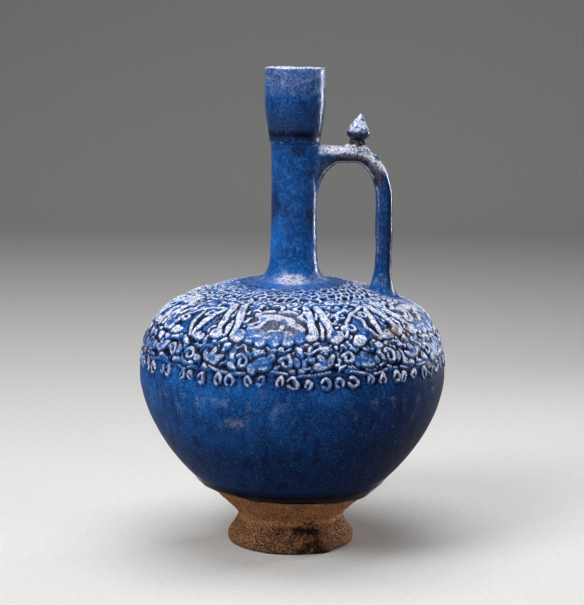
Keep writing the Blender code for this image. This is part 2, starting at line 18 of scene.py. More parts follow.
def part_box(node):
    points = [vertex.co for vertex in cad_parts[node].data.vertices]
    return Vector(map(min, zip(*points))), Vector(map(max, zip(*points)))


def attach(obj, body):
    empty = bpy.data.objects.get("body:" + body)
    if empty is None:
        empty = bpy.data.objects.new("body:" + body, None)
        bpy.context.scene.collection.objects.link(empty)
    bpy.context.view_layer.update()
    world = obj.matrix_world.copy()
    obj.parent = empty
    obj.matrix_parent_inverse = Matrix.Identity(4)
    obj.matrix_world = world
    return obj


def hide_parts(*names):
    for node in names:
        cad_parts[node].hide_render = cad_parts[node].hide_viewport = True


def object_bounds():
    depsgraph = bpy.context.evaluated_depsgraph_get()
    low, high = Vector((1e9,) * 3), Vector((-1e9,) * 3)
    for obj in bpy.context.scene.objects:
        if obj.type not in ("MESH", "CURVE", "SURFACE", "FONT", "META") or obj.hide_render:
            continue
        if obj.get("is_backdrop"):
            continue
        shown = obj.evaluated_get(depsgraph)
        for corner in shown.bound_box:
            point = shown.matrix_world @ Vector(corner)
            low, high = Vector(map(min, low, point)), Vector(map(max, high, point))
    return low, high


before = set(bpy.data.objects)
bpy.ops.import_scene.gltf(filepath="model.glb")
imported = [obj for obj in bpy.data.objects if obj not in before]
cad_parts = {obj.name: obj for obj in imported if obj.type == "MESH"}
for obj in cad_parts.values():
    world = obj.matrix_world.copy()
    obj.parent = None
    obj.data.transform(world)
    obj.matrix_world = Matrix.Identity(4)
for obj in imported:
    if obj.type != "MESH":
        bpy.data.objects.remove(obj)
cad_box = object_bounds()
# Metres in a millimetre.
MM = 0.001
print("CAD nodes:", ", ".join(sorted(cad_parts)))

# %% [markdown]
# ## Camera
#
# The camera looks at the jug from just above its mouth with a long lens, so that the sides stay nearly
# parallel. A camera can be aimed with a Track To constraint. Here it is turned by two angles, because the
# jug stands a trace out of plumb in the frame, and that is a small roll of the camera, which a constraint
# would undo.

# %% Camera
scene = bpy.context.scene
scene.view_settings.view_transform = "Standard"

LENS_MM = 113.87
CAMERA_PLACE = (-0.0006, -1.150, 0.32795)
LOOK_DOWN = math.radians(8.9)
ROLL = math.radians(0.616)

camera = bpy.data.objects.new("camera", bpy.data.cameras.new("camera"))
camera.data.lens = LENS_MM
camera.location = CAMERA_PLACE
tip = Matrix.Rotation(math.pi / 2 - LOOK_DOWN, 3, "X")
camera.rotation_euler = (tip @ Matrix.Rotation(ROLL, 3, "Z")).to_euler()
scene.collection.objects.link(camera)
scene.camera = camera
print("lens", camera.data.lens, "mm")

# %% [markdown]
# ## Colours, nodes and finishes
#
# Colours are written as sRGB hex values, as a paint chart gives them, and turned to linear light once.
# Every material is a node tree. Trees can be drawn by hand in the shader editor. In a script, one small
# function that adds a node, sets it and links it keeps each tree short enough to read from top to bottom.

# %% Colour and node helpers


def colour(code):
    """Linear RGBA from an sRGB hex value: a channel c becomes ((c + 0.055) / 1.055)^2.4 above 0.04045, and
    c / 12.92 below."""
    values = np.array([int(code[i:i + 2], 16) for i in (1, 3, 5)]) / 255
    linear = np.where(values > 0.04045, ((values + 0.055) / 1.055) ** 2.4, values / 12.92)
    return (*linear.tolist(), 1.0)


def feed(tree, node, inputs):
    """Gives each input of a node its value, or a link where the value is another node's output."""
    for name, value in inputs.items():
        if isinstance(value, bpy.types.NodeSocket):
            tree.links.new(value, node.inputs[name])
        else:
            node.inputs[name].default_value = value


def add(tree, kind, inputs, out=0, **settings):
    """Adds a shader node, sets its options, feeds its inputs and returns one output."""
    node = tree.nodes.new("ShaderNode" + kind)
    for name, value in settings.items():
        setattr(node, name, value)
    feed(tree, node, inputs)
    return node.outputs[out]


def per_metre(size_mm):
    """Texture scale that gives features of about this size, for coordinates in metres."""
    return 1.0 / (size_mm * MM)


def start_material(name):
    """A new node material: its tree, its Principled shader and the object's own coordinates."""
    material = bpy.data.materials.new(name)
    material.use_nodes = True
    tree = material.node_tree
    place = add(tree, "TexCoord", {}, "Object")
    return material, tree, tree.nodes["Principled BSDF"], place


def lay_over(tree, coat, tone, value, low=0.0, high=1.0, least=0.0, most=1.0):
    """Lays a colour over a coat. Its cover eases from least, where value is at low, to most, where it is at
    high. A Mix node for colours has its factor at input 0, its colours at 6 and 7 and its result at output
    2."""
    limits = {"Value": value, "From Min": low, "From Max": high, "To Min": least, "To Max": most}
    cover = add(tree, "MapRange", limits, interpolation_type="SMOOTHSTEP")
    return add(tree, "Mix", {0: cover, 6: coat, 7: colour(tone)}, 2, data_type="RGBA")


print("cobalt in linear light:", [round(c, 3) for c in colour("#1F4F96")[:3]])

# %% [markdown]
# ## The cobalt glaze
#
# An alkaline glaze stained with cobalt, dipped and fired. It is thin over edges, where the pale body shows
# through in lavender white, and thick in hollows, where it is nearly black. That follows the shape, so it
# could be painted on or read from the curvature. Here each piece carries it as values at its points, which
# the same formulas give that make the shape: thin glaze, pooled glaze, a pale weathered film, brown soil
# and a worn dullness in the ground. Light and shade are painted in with them: painted highlight and a
# painted reflection with the thin glaze, painted shade with the pooled glaze, and a painted highlight
# with the film round the foot of the neck.
#
# The material adds what is finer: clouds, a mottle of a few millimetres, light and dark specks, streaks
# that run down, a net of craze lines and small pits. The craze net on the real jug is finer than a pixel,
# so it is drawn about twice as coarse here. A Map Range node's inputs 1 to 4 are the range it reads and
# the range it gives.

# %% Cobalt glaze
FILMS = ("thin", "pool", "bloom", "stain", "matt")


def cobalt_glaze(name, deep, middle, light):
    """Mottled blue between deep and light, darkened where it pools and where shade is painted, with specks,
    streaks and craze lines. Then the thin glaze and the film, both of which also carry painted highlight,
    and the soil are laid over it in that order, broken up by the mottle and the specks."""
    material, tree, shader, place = start_material(name)
    cloud = add(tree, "TexNoise", {"Vector": place, "Scale": per_metre(24), "Detail": 3})
    blotches = {"Vector": place, "Scale": per_metre(3.2), "Detail": 3, "Roughness": 0.65}
    mottle = add(tree, "TexNoise", blotches)
    speck = add(tree, "TexNoise", {"Vector": place, "Scale": per_metre(0.95), "Detail": 2, "Roughness": 0.7})
    drawn_out = add(tree, "Mapping", {"Vector": place, "Scale": (1.0, 1.0, 0.22)})
    streak = add(tree, "TexNoise", {"Vector": drawn_out, "Scale": per_metre(2.2), "Detail": 2})
    net = {"Vector": place, "Scale": per_metre(2.4)}
    craze = add(tree, "TexVoronoi", net, feature="DISTANCE_TO_EDGE")
    pit = add(tree, "TexVoronoi", {"Vector": place, "Scale": per_metre(3.6)})

    film = {kind: add(tree, "Attribute", {}, "Fac", attribute_name=kind) for kind in FILMS}
    coat = lay_over(tree, colour(deep), middle, cloud, 0.34, 0.66)
    coat = lay_over(tree, coat, light, mottle, 0.42, 0.74, 0.0, 0.5)
    # Pooled glaze and painted shade, from the values of the pool.
    coat = lay_over(tree, coat, "#13244C", film["pool"], 0.0, 0.55)
    coat = lay_over(tree, coat, "#4C7DBF", speck, 0.44, 0.3, 0.0, 0.4)
    coat = lay_over(tree, coat, "#5C89C6", streak, 0.6, 0.78, 0.0, 0.3)
    coat = lay_over(tree, coat, "#071A3E", speck, 0.5, 0.66, 0.0, 0.7)
    coat = lay_over(tree, coat, "#081734", craze, 0.0, 0.07, 0.35, 0.0)
    # The deepest pooled glaze and painted shade.
    coat = lay_over(tree, coat, "#050B1C", film["pool"], 0.4, 1.0)

    patchy = add(tree, "MapRange", {"Value": mottle, 1: 0.3, 2: 0.62, 3: 0.5, 4: 1.0})
    grainy = add(tree, "MapRange", {"Value": speck, 1: 0.45, 2: 0.62, 3: 1.0, 4: 0.25})
    broken = add(tree, "Math", {0: patchy, 1: grainy}, operation="MULTIPLY")
    # The pale of the thin glaze and of the film also paints highlight.
    for kind, tone in (("thin", "#E5E7F1"), ("bloom", "#C4C5D7"), ("stain", "#75502F")):
        cover = add(tree, "Math", {0: film[kind], 1: broken}, operation="MULTIPLY")
        coat = lay_over(tree, coat, tone, cover)

    gloss = add(tree, "MapRange", {"Value": mottle, 1: 0.3, 2: 0.75, 3: 0.16, 4: 0.36})
    dull = add(tree, "Math", {0: film["bloom"], 1: 0.25, 2: gloss}, operation="MULTIPLY_ADD")
    dull = add(tree, "Math", {0: film["matt"], 1: 0.25, 2: dull}, operation="MULTIPLY_ADD")
    shine = add(tree, "MapRange", {"Value": film["matt"], 3: 0.17, 4: 0.035})
    pits = add(tree, "MapRange", {"Value": pit, 1: 0.04, 2: 0.16})
    grain = add(tree, "Math", {0: mottle, 1: 0.6, 2: pits}, operation="MULTIPLY_ADD")
    bump = add(tree, "Bump", {"Height": grain, "Strength": 0.35, "Distance": 0.25 * MM})
    feed(tree, shader, {"Base Color": coat, "Roughness": dull, "Normal": bump})
    feed(tree, shader, {"Specular IOR Level": shine, "IOR": 1.5})
    return material


glaze = cobalt_glaze("cobalt_glaze", "#0E4285", "#1962B3", "#3B86D2")
print("glaze:", glaze.name)

# %% [markdown]
# ## Pooled glaze, bare clay and pale clay
#
# Where the glaze ran down and stopped it is a thick, glossy, nearly black roll. Below it the clay is bare:
# sandy to the eye, warm brown with dark grains and soil, with painted shade in the crease of the foot, and
# paler where slip was wiped over it. The bud is bedded in crumbs of pale clay that took only a wash of
# glaze. Glass could be made with transmission, but this glaze is too deep to see into, so a dark smooth
# surface is enough. All clays are one tree with other colours.

# %% Pooled glaze


def pooled_glaze():
    """Blue-black glass: very smooth, with a few dull patches and a bluer cast where it is thinner."""
    material, tree, shader, place = start_material("pooled_cobalt_glaze")
    cloud = add(tree, "TexNoise", {"Vector": place, "Scale": per_metre(7), "Detail": 3})
    coat = lay_over(tree, colour("#030408"), "#070D1C", cloud, 0.4, 0.7)
    coat = lay_over(tree, coat, "#0A1F46", add(tree, "Attribute", {}, "Fac", attribute_name="thin"))
    gloss = add(tree, "MapRange", {"Value": cloud, 1: 0.45, 2: 0.75, 3: 0.1, 4: 0.4})
    bump = add(tree, "Bump", {"Height": cloud, "Strength": 0.3, "Distance": 0.4 * MM})
    feed(tree, shader, {"Base Color": coat, "Roughness": gloss, "Normal": bump, "Specular IOR Level": 0.035})
    return material


run_glaze = pooled_glaze()
print("pooled glaze:", run_glaze.name)

# %% Clays
SLIP_TONE = "#F3A873"


def clay(name, bright, light, dark, grain_tone, stain_and_shade_tone):
    """Fired stonepaste without glaze: sandy grains of about a millimetre, matt, blotched and stained, with a
    thin paler slip between the grains where it was wiped. On the foot the stain colour also paints shade."""
    material, tree, shader, place = start_material(name)
    cloud = add(tree, "TexNoise", {"Vector": place, "Scale": per_metre(14), "Detail": 4, "Roughness": 0.6})
    sand = add(tree, "TexNoise", {"Vector": place, "Scale": per_metre(1.1), "Detail": 4, "Roughness": 0.8})
    grain = add(tree, "TexNoise", {"Vector": place, "Scale": per_metre(0.75), "Detail": 2, "Roughness": 0.7})
    coat = lay_over(tree, colour(dark), light, cloud, 0.36, 0.66)
    coat = lay_over(tree, coat, grain_tone, sand, 0.49, 0.58, 0.0, 0.82)
    coat = lay_over(tree, coat, bright, grain, 0.5, 0.62, 0.0, 0.6)

    between_grains = add(tree, "MapRange", {"Value": sand, 1: 0.46, 2: 0.57, 3: 1.0, 4: 0.2})
    patchy = add(tree, "MapRange", {"Value": sand, 1: 0.3, 2: 0.6, 3: 0.6, 4: 1.0})
    # The stain colour is soil, and on the foot also painted shade.
    for kind, tone, broken in (("wiped", SLIP_TONE, between_grains), ("stain", stain_and_shade_tone, patchy)):
        film = add(tree, "Attribute", {}, "Fac", attribute_name=kind)
        coat = lay_over(tree, coat, tone, add(tree, "Math", {0: film, 1: broken}, operation="MULTIPLY"))

    rough = add(tree, "Math", {0: sand, 1: 0.5, 2: grain}, operation="MULTIPLY_ADD")
    bump = add(tree, "Bump", {"Height": rough, "Strength": 0.9, "Distance": 0.7 * MM})
    feed(tree, shader, {"Base Color": coat, "Normal": bump, "Roughness": 0.92, "Specular IOR Level": 0.2})
    return material


bare_clay = clay("bare_stonepaste", "#DCA97F", "#664026", "#422814", "#1C0E07", "#0C0908")
inner_clay = clay("inner_stonepaste", "#D0BDA6", "#B9A58E", "#9C8770", "#7C6850", "#5A4632")
pale_clay = clay("pale_crumbling_clay", "#FCFDFF", "#ECEEF4", "#CDD0DB", "#9498A8", "#0C0F18")
print("clays:", bare_clay.name, inner_clay.name, pale_clay.name)

# %% [markdown]
# ## Floor and light
#
# The jug stands on a pale sweep of paper that curves up behind it, as in a studio, so that no horizon
# shows. The paper bounces less light than it shows, so that the jug keeps its shadow side. A picture of a
# studio could light the scene, but a few area lamps say more plainly where the light is. A wide soft box
# hangs overhead, and the key light stands high in front on the left. A narrow strip behind on the right
# draws a thin bright edge down the mouth, neck and handle. Two weak low boxes open the shadows under the
# belly, and the gloss doesn't mirror them.

# %% Floor
FLOOR_REACH = 6.0
FLOOR_BACK, FLOOR_BEND, WALL_TOP = 1.6, 0.9, 2.6


def paper_finish():
    """Matt pale paper with a faint tooth. It is darker to the rays that only carry light from it to the
    jug."""
    material, tree, shader, place = start_material("pale_paper")
    tooth = add(tree, "TexNoise", {"Vector": place, "Scale": per_metre(4)})
    paper = lay_over(tree, colour("#CBCAC8"), "#D0CFCD", tooth, 0.3, 0.7)
    shown = 0.0
    for ray in ("Is Camera Ray", "Is Glossy Ray", "Is Transmission Ray"):
        shown = add(tree, "Math", {0: shown, 1: add(tree, "LightPath", {}, ray)}, operation="MAXIMUM")
    paper = add(tree, "Mix", {0: shown, 6: colour("#6C6B6A"), 7: paper}, 2, data_type="RGBA")
    feed(tree, shader, {"Base Color": paper, "Roughness": 0.9, "Specular IOR Level": 0.1})
    return material


def sweep_of_paper():
    """A floor that curves up into a back wall: flat, then a quarter circle, then straight up."""
    turn = np.linspace(0, math.pi / 2, 16)
    wall_y = FLOOR_BACK + FLOOR_BEND
    y = np.concatenate([[-FLOOR_REACH], FLOOR_BACK + FLOOR_BEND * np.sin(turn), [wall_y]])
    z = np.concatenate([[0.0], FLOOR_BEND * (1 - np.cos(turn)), [WALL_TOP]])
    x = np.array([-FLOOR_REACH, FLOOR_REACH])
    points = np.stack(np.broadcast_arrays(x[None, :], y[:, None], z[:, None]), axis=-1).reshape(-1, 3)
    rows = np.arange(len(y) - 1) * 2
    faces = np.stack([rows, rows + 1, rows + 3, rows + 2], axis=1)
    mesh = bpy.data.meshes.new("paper_sweep")
    mesh.from_pydata(points.tolist(), [], faces.tolist())
    mesh.shade_smooth()
    mesh.materials.append(paper_finish())
    floor = bpy.data.objects.new("paper_sweep", mesh)
    scene.collection.objects.link(floor)
    return floor


sweep_of_paper()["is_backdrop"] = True
print("floor", 2 * FLOOR_REACH, "m wide")

# %% Lights
AIM = Vector((0.0, 0.0, 0.16))


def soft_box(name, place, width, height, watts, spread=180, mirrored=True):
    """A rectangular area lamp that faces the middle of the jug, in a beam of spread degrees."""
    lamp = bpy.data.lights.new(name, "AREA")
    lamp.shape = "RECTANGLE"
    lamp.size = width
    lamp.size_y = height
    lamp.energy = watts
    lamp.spread = math.radians(spread)
    box = bpy.data.objects.new(name, lamp)
    box.location = place
    box.visible_glossy = mirrored
    box.rotation_euler = (Vector(place) - AIM).to_track_quat("Z", "Y").to_euler()
    scene.collection.objects.link(box)


soft_box("overhead", (-0.05, 0.05, 1.30), 1.0, 1.0, 14.0)
soft_box("key", (-0.80, -0.78, 1.15), 0.6, 0.6, 15.0)
soft_box("edge_strip", (0.84, 0.61, 0.29), 0.05, 0.44, 1.1, spread=70)
soft_box("low_left", (-1.05, -0.88, 0.24), 0.5, 0.16, 1.15, spread=80, mirrored=False)
soft_box("low_right", (1.00, -0.30, 0.22), 0.3, 0.14, 0.8, spread=80, mirrored=False)

world = bpy.data.worlds.new("studio")
world.use_nodes = True
background = world.node_tree.nodes["Background"]
feed(world.node_tree, background, {"Color": colour("#8C8E94"), "Strength": 0.22})
scene.world = world

# %% [markdown]
# ## Unevenness
#
# Nothing on the jug is a true circle, and no colour on it is even. A noise texture could push the surface
# about when it is rendered, but then the exported mesh would stay clean. So a smooth, seeded unevenness is
# worked out at the points themselves. It moves them, and it also breaks up the films of glaze and soil.

# %% Unevenness


def smooth(value, low, high):
    """Eases from 0 at low to 1 at high: 3 t^2 - 2 t^3."""
    t = np.clip((value - low) / (high - low), 0, 1)
    return t * t * (3 - 2 * t)


def wander(points, size, seed, waves=20):
    """Unevenness of about one size in mm: the sum of cosine waves in scattered directions over the root of
    their number, mostly within -1.4 to 1.4."""
    rng = np.random.default_rng(seed)
    way = rng.normal(size=(waves, 3))
    way *= (2 * math.pi / size * rng.uniform(0.6, 1.4, waves) / np.linalg.norm(way, axis=1))[:, None]
    phase = rng.uniform(0, 2 * math.pi, waves)
    return np.cos(points @ way.T + phase).sum(axis=-1) / math.sqrt(waves)


def spots(points, size, seed, low, high, waves=20):
    """Soft spots of about one size in mm: 0 where the unevenness is at low, 1 where it is at high."""
    return smooth(wander(points, size, seed, waves), low, high)


print("unevenness at three points:", np.round(wander(np.diag([1.0, 20.0, 300.0]), 10, 1), 2))

# %% [markdown]
# ## Skins
#
# Every piece is a grid of points in rows and columns, skinned with quads. Its columns run round the jug
# and close on themselves. Its rows either close too, as in a hollow wall, or end in a fan of triangles.
# The jug could be spun with a Screw modifier, but a grid lets every point carry its own dent and its own
# share of glaze.

# %% Faces of a grid


def quads(rows, columns, rows_closed):
    """Corner numbers of a grid's quads; the columns always close on themselves."""
    index = np.arange(rows * columns).reshape(rows, columns)
    right = np.roll(index, -1, axis=1)
    below, below_right = np.roll(index, -1, axis=0), np.roll(right, -1, axis=0)
    faces = np.stack([index, right, below_right, below], axis=-1)
    return (faces if rows_closed else faces[:-1]).reshape(-1, 4)


def fans(rows, columns):
    """Triangles that close the first and last row, each to a middle point numbered after the grid."""
    here = np.arange(columns)
    there = np.roll(here, -1)
    last = (rows - 1) * columns
    first_middle = np.full(columns, rows * columns)
    start = np.stack([there, here, first_middle], axis=1)
    end = np.stack([here + last, there + last, first_middle + 1], axis=1)
    return np.concatenate([start, end])


def enclosed(points, faces):
    """Six times the volume inside faces, negative where they point inwards: each face is fanned from its
    first corner into triangles, and the triple products of their corners are summed."""
    corners = points[faces]
    return np.einsum("ij,ikj->", corners[:, 0], np.cross(corners[:, 1:-1], corners[:, 2:]))


def closed(points, rows_closed):
    """Flat points of a grid, its quads, and the fans over its ends where its rows are open, all facing
    out."""
    rows, columns = points.shape[:2]
    flat, ends = points.reshape(-1, 3), np.empty((0, 3), int)
    sides = quads(rows, columns, rows_closed)
    if not rows_closed:
        flat = np.concatenate([flat, points[[0, -1]].mean(axis=1)])
        ends = fans(rows, columns)
    if enclosed(flat, sides) + enclosed(flat, ends) < 0:
        sides, ends = sides[:, ::-1], ends[:, ::-1]
    return flat, sides, ends


print("a 4 x 6 grid has", len(quads(4, 6, False)), "quads and", len(fans(4, 6)), "end triangles")

# %% Skin a grid
HARD_TURN = math.radians(55)


def hard_rows(points, rows_closed):
    """Rows where the section turns by more than 55 degrees on average, and the ends of an open grid."""
    before = points - np.roll(points, 1, axis=0)
    after = np.roll(before, -1, axis=0)
    lengths = np.linalg.norm(before, axis=-1) * np.linalg.norm(after, axis=-1)
    straight = (np.sum(before * after, axis=-1) / np.maximum(lengths, 1e-9)).mean(axis=1)
    turns = straight < math.cos(HARD_TURN)
    if not rows_closed:
        turns[[0, -1]] = True
    return np.flatnonzero(turns)


def put_on_jug(name, mesh, material, slot, nodes):
    """Makes a mesh a piece that rides on the jug's body and stands for the named CAD nodes."""
    mesh.materials.append(material)
    piece = bpy.data.objects.new(name, mesh)
    scene.collection.objects.link(piece)
    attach(piece, "root")
    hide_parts(*nodes)


def skin(name, points, fields, material, slot, nodes, rows_closed=True):
    """Makes a piece from a grid of points in mm. fields holds values at the points for the material."""
    rows, columns = points.shape[:2]
    flat, sides, ends = closed(points, rows_closed)
    mesh = bpy.data.meshes.new(name)
    mesh.from_pydata((flat * MM).tolist(), [], sides.tolist() + ends.tolist())
    for kind, values in fields.items():
        spread = np.zeros(len(flat))
        spread[:rows * columns] = np.broadcast_to(values, (rows, columns)).ravel()
        mesh.attributes.new(kind, "FLOAT", "POINT").data.foreach_set("value", spread)
    mesh.shade_smooth()
    corners = np.empty(len(mesh.edges) * 2, int)
    mesh.edges.foreach_get("vertices", corners)
    from_row, to_row = (corners.reshape(-1, 2) // columns).T
    hard = (from_row == to_row) & np.isin(from_row, hard_rows(points, rows_closed))
    mesh.attributes.new("sharp_edge", "BOOLEAN", "EDGE").data.foreach_set("value", hard)
    put_on_jug(name, mesh, material, slot, nodes)
    print(name, rows, "x", columns, "points")


print("edges harder than", round(math.degrees(HARD_TURN)), "degrees stay sharp")

# %% Turned outlines and curves


def around(columns):
    """Angles round the jug, from the front towards the handle's side: even shares of a full turn."""
    return np.arange(columns) / columns * 2 * math.pi


def hump(value, middle, half_width):
    """A soft hill of height 1: exp(-((value - middle) / half width)^2)."""
    return np.exp(-((value - middle) / half_width) ** 2)


def patch(columns, degrees, half_width):
    """A soft patch on one side of the jug: exp(-(angle / half width)^2) round its middle."""
    away = (around(columns) - math.radians(degrees) + math.pi) % (2 * math.pi) - math.pi
    return hump(away, 0.0, math.radians(half_width))


def turned(radius, height, columns):
    """Points of an outline carried round the jug's axis: x is radius times sine, y is minus radius times
    cosine. radius and height are a row each, or a grid."""
    turn = around(columns)
    radius, height = np.asarray(radius, float), np.asarray(height, float)
    if radius.ndim == 1:
        radius, height = radius[:, None], height[:, None]
    x, y = radius * np.sin(turn), -radius * np.cos(turn)
    return np.stack([x, y, np.broadcast_to(height, x.shape)], axis=-1)


def bezier(start, start_handle, end_handle, end, count):
    """Points on a cubic curve between two corners: the corners and handles, weighted by (1 - t)^3,
    3 (1 - t)^2 t, 3 (1 - t) t^2 and t^3."""
    t = np.linspace(0, 1, count)[:, None]
    corners = [np.array(corner, float) for corner in (start, start_handle, end_handle, end)]
    weights = ((1 - t) ** 3, 3 * (1 - t) ** 2 * t, 3 * (1 - t) * t ** 2, t ** 3)
    return sum(weight * corner for weight, corner in zip(weights, corners))


quarters = turned([10.0], [0.0], 4)[0]
print("four points round a circle of 10 mm:", quarters.round(1).tolist())

# %% [markdown]
# ## Outline of the body
#
# The body is two halves that meet at the belly. Each could be a drawn curve, but both are close to a
# superellipse, a form between a circle and a square, so one power each describes them. The powers are the
# same as in the CAD model. The wet shoulder sank a little round the neck, which its formula takes off.

# %% Body outline


def node_box(name):
    """Lowest and highest corner of a CAD node, in millimetres."""
    low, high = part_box(name)
    return np.array(low) / MM, np.array(high) / MM


belly_radius = node_box("lower_bowl")[1][0]
coil_low, coil_high = node_box("belly_coil")
seam_z = (coil_low[2] + coil_high[2]) / 2
SHOULDER_RISE, SHOULDER_FULLNESS = 57.0, 2.65
SETTLED = 1.2
BOWL_DROP, BOWL_FULLNESS = 90.6, 1.7


def settled(radius):
    """How far the wet shoulder sank round the neck, in mm: most from 42 to 60 mm off the axis."""
    return SETTLED * smooth(radius, 27.0, 42.0) * (1 - smooth(radius, 60.0, 84.0))


def shoulder_z(radius):
    """Height of the shoulder: rise times (1 - (r / belly)^p)^(1 / p) above the seam, less how far it
    sank."""
    share = np.clip(1 - (radius / belly_radius) ** SHOULDER_FULLNESS, 0, 1)
    return seam_z + SHOULDER_RISE * share ** (1 / SHOULDER_FULLNESS) - settled(radius)


def bowl_radius(z):
    """Radius of the lower half: belly times (1 - (depth / drop)^p)^(1 / p)."""
    share = np.clip(1 - ((seam_z - z) / BOWL_DROP) ** BOWL_FULLNESS, 0, 1)
    return belly_radius * share ** (1 / BOWL_FULLNESS)


print("belly radius", belly_radius, "seam at", seam_z)

# %% [markdown]
# ## Foot and bare cone
#
# The foot is a flared ring, scraped by hand, and above its waist the bare cone of the bowl spreads up to
# the glaze. Both are the same clay, wiped with slip that is thickest next to the glaze, with dark soil on
# the front of the foot and painted shade in the crease under the waist and by the dent. Each is a turned
# outline. That alone is too clean for scraped clay, so a dent, two slight bulges and sand of three sizes
# are added along the way the surface faces.

# %% Foot
foot_high = node_box("foot")[1]
foot_radius, waist_z = foot_high[0], foot_high[2]
WAIST_RADIUS = 31.5
REST_RADIUS = 36.8
HOLLOW_RADIUS, HOLLOW_TOP_RADIUS = 29.5, 22.5
WIDEST_Z = 5.6
DENTED_FROM_RADIUS = 33.08


def facing(points, rows_closed):
    """Unit normals of a grid whose columns close on themselves: the cross product of its two ways."""
    across = np.roll(points, -1, axis=1) - np.roll(points, 1, axis=1)
    if rows_closed:
        along = np.roll(points, -1, axis=0) - np.roll(points, 1, axis=0)
    else:
        along = np.gradient(points, axis=0)
    normal = np.cross(across, along)
    return normal / np.maximum(np.linalg.norm(normal, axis=-1, keepdims=True), 1e-9)


def sandy(points):
    """Dents and sand of the bare clay, in mm: waves of 9, 2.8 and 1.4 mm."""
    sand = 0.10 * wander(points, 2.8, 12, 40) + 0.06 * wander(points, 1.4, 13, 40)
    return 0.16 * wander(points, 9, 11) + sand


def foot_outline():
    """A hollow flare to the widest line, a worn round edge, a flat rest, the hollow underneath and the
    top."""
    brow, widest = (WAIST_RADIUS + 0.9, waist_z + 0.3), (foot_radius - 0.2, WIDEST_Z)
    ceiling = (HOLLOW_TOP_RADIUS, waist_z)
    flare = bezier(brow, (brow[0] + 0.2, waist_z - 3.6), (foot_radius - 2.6, WIDEST_Z + 3.4), widest, 24)
    edge = bezier(widest, (foot_radius + 0.5, WIDEST_Z - 2.2), (foot_radius, 0.5), (REST_RADIUS, 0.0), 14)
    rest = np.linspace(edge[-1], (HOLLOW_RADIUS, 0.0), 6)
    hollow = bezier(rest[-1], (HOLLOW_RADIUS - 1.5, 6.0), (HOLLOW_TOP_RADIUS, 11.0), ceiling, 18)
    top = np.linspace(ceiling, brow, 8)[1:-1]
    return np.concatenate([flare, edge[1:], rest[1:], hollow[1:], top])


def foot_ring(columns=420):
    """The outline carried round, less its dent and plus its sand, with soil, painted shade and slip as
    fields.
    """
    points = turned(*foot_outline().T, columns)
    height = points[..., 2]
    dent = 1.1 * patch(columns, 31, 9) - 0.7 * patch(columns, 54, 14) - 0.3 * patch(columns, -40, 20)
    outside = np.hypot(points[..., 0], points[..., 1]) > DENTED_FROM_RADIUS
    dent = dent * smooth(height, 15.5, 9.0) * outside
    points = points + facing(points, True) * (sandy(points) * smooth(height, 0.0, 1.5) - dent)[..., None]
    points[..., 2] = np.maximum(points[..., 2], 0.0)
    # Soil, and painted shade: a dark band in the crease under the waist and a dark patch below the dent.
    soil = 0.85 * patch(columns, 7, 19) * hump(height, 14.5, 3.0)
    soil = soil + 0.75 * patch(columns, 23, 11) * smooth(height, 9.0, 2.0)
    soil = soil + 0.35 * patch(columns, 24, 15) + 0.5 * patch(columns, -4, 32) * smooth(height, 17.0, 11.0)
    soil = soil * (0.8 + 0.35 * wander(points, 9, 14) + 0.25 * wander(points, 2.6, 16, 40))
    wiped = 0.32 * smooth(height + wander(points, 8, 18), 12.5, 18.0)
    wiped = wiped + 0.15 * (1 - patch(columns, 52, 26))
    return points, dict(stain=np.clip(soil, 0, 1), wiped=wiped)


skin("foot_ring", *foot_ring(), bare_clay, "bare_clay", ["foot"])

# %% Bare cone
CONE_FOOT, CONE_TOP = (35.0, 21.6), (52.3, 37.5)
CONE_END_Z = 41.0
CAVITY_FLOOR_Z = 27.0


def cone_radius(z):
    """Radius of the bare cone, which spreads evenly with height."""
    return CONE_FOOT[0] + (CONE_TOP[0] - CONE_FOOT[0]) * (z - CONE_FOOT[1]) / (CONE_TOP[1] - CONE_FOOT[1])


def bare_cone(columns=480):
    """The cone from a cut groove at the waist up under the glaze, then the thick floor of the bowl
    inside."""
    under = np.linspace((12.0, waist_z + 0.2), (WAIST_RADIUS + 0.7, waist_z + 0.2), 5)
    waist = bezier(under[-1], (WAIST_RADIUS + 1.1, 18.6), (33.6, 20.3), CONE_FOOT, 10)
    rise_z = np.linspace(CONE_FOOT[1], CONE_END_Z, 44)
    rise = np.stack([cone_radius(rise_z), rise_z], axis=1)
    floor = bezier((53.0, 41.5), (40.0, 30.0), (24.0, CAVITY_FLOOR_Z), (8.0, CAVITY_FLOOR_Z), 12)
    outline = np.concatenate([under, waist[1:], rise[1:], floor])
    points = turned(*outline.T, columns)
    height = points[..., 2]
    row = np.arange(len(outline))
    outside = (row >= len(under)) & (row < len(outline) - len(floor))
    points = points - facing(points, False) * (sandy(points) * outside[:, None])[..., None]
    soil = 0.5 * patch(columns, 20, 17) * smooth(height, 25.0, 19.0)
    soil = soil * (0.8 + 0.35 * wander(points, 3, 17, 40))
    soil = soil + 0.35 * spots(points, 16, 15, 0.5, 1.4) + 0.15 * smooth(height, 33.0, 38.0)
    wiped = 0.6 + 0.06 * wander(points, 8, 18)
    return points, dict(stain=np.clip(soil, 0, 1), wiped=wiped)


skin("bare_cone", *bare_cone(), bare_clay, "bare_clay", ["lower_bowl"], rows_closed=False)

# %% [markdown]
# ## Belly
#
# The plain lower half, in glaze that ran down while it was hot: it is streaked, a little paler just under
# the relief, darker towards the foot, where the glaze is thicker and shade is painted on too, and darker on
# the handle's side, which is painted shade, with one scuffed place on the left. It is a closed wall,
# turned from the bowl's outline and the hollow's, so that it has a real thickness.

# %% Belly
BELLY_FOOT_Z = 41.0
CAVITY_RADIUS, CAVITY_DROP, CAVITY_FULLNESS = 86.0, 78.0, 1.9
RUNNING = (1, 1, 0.3)


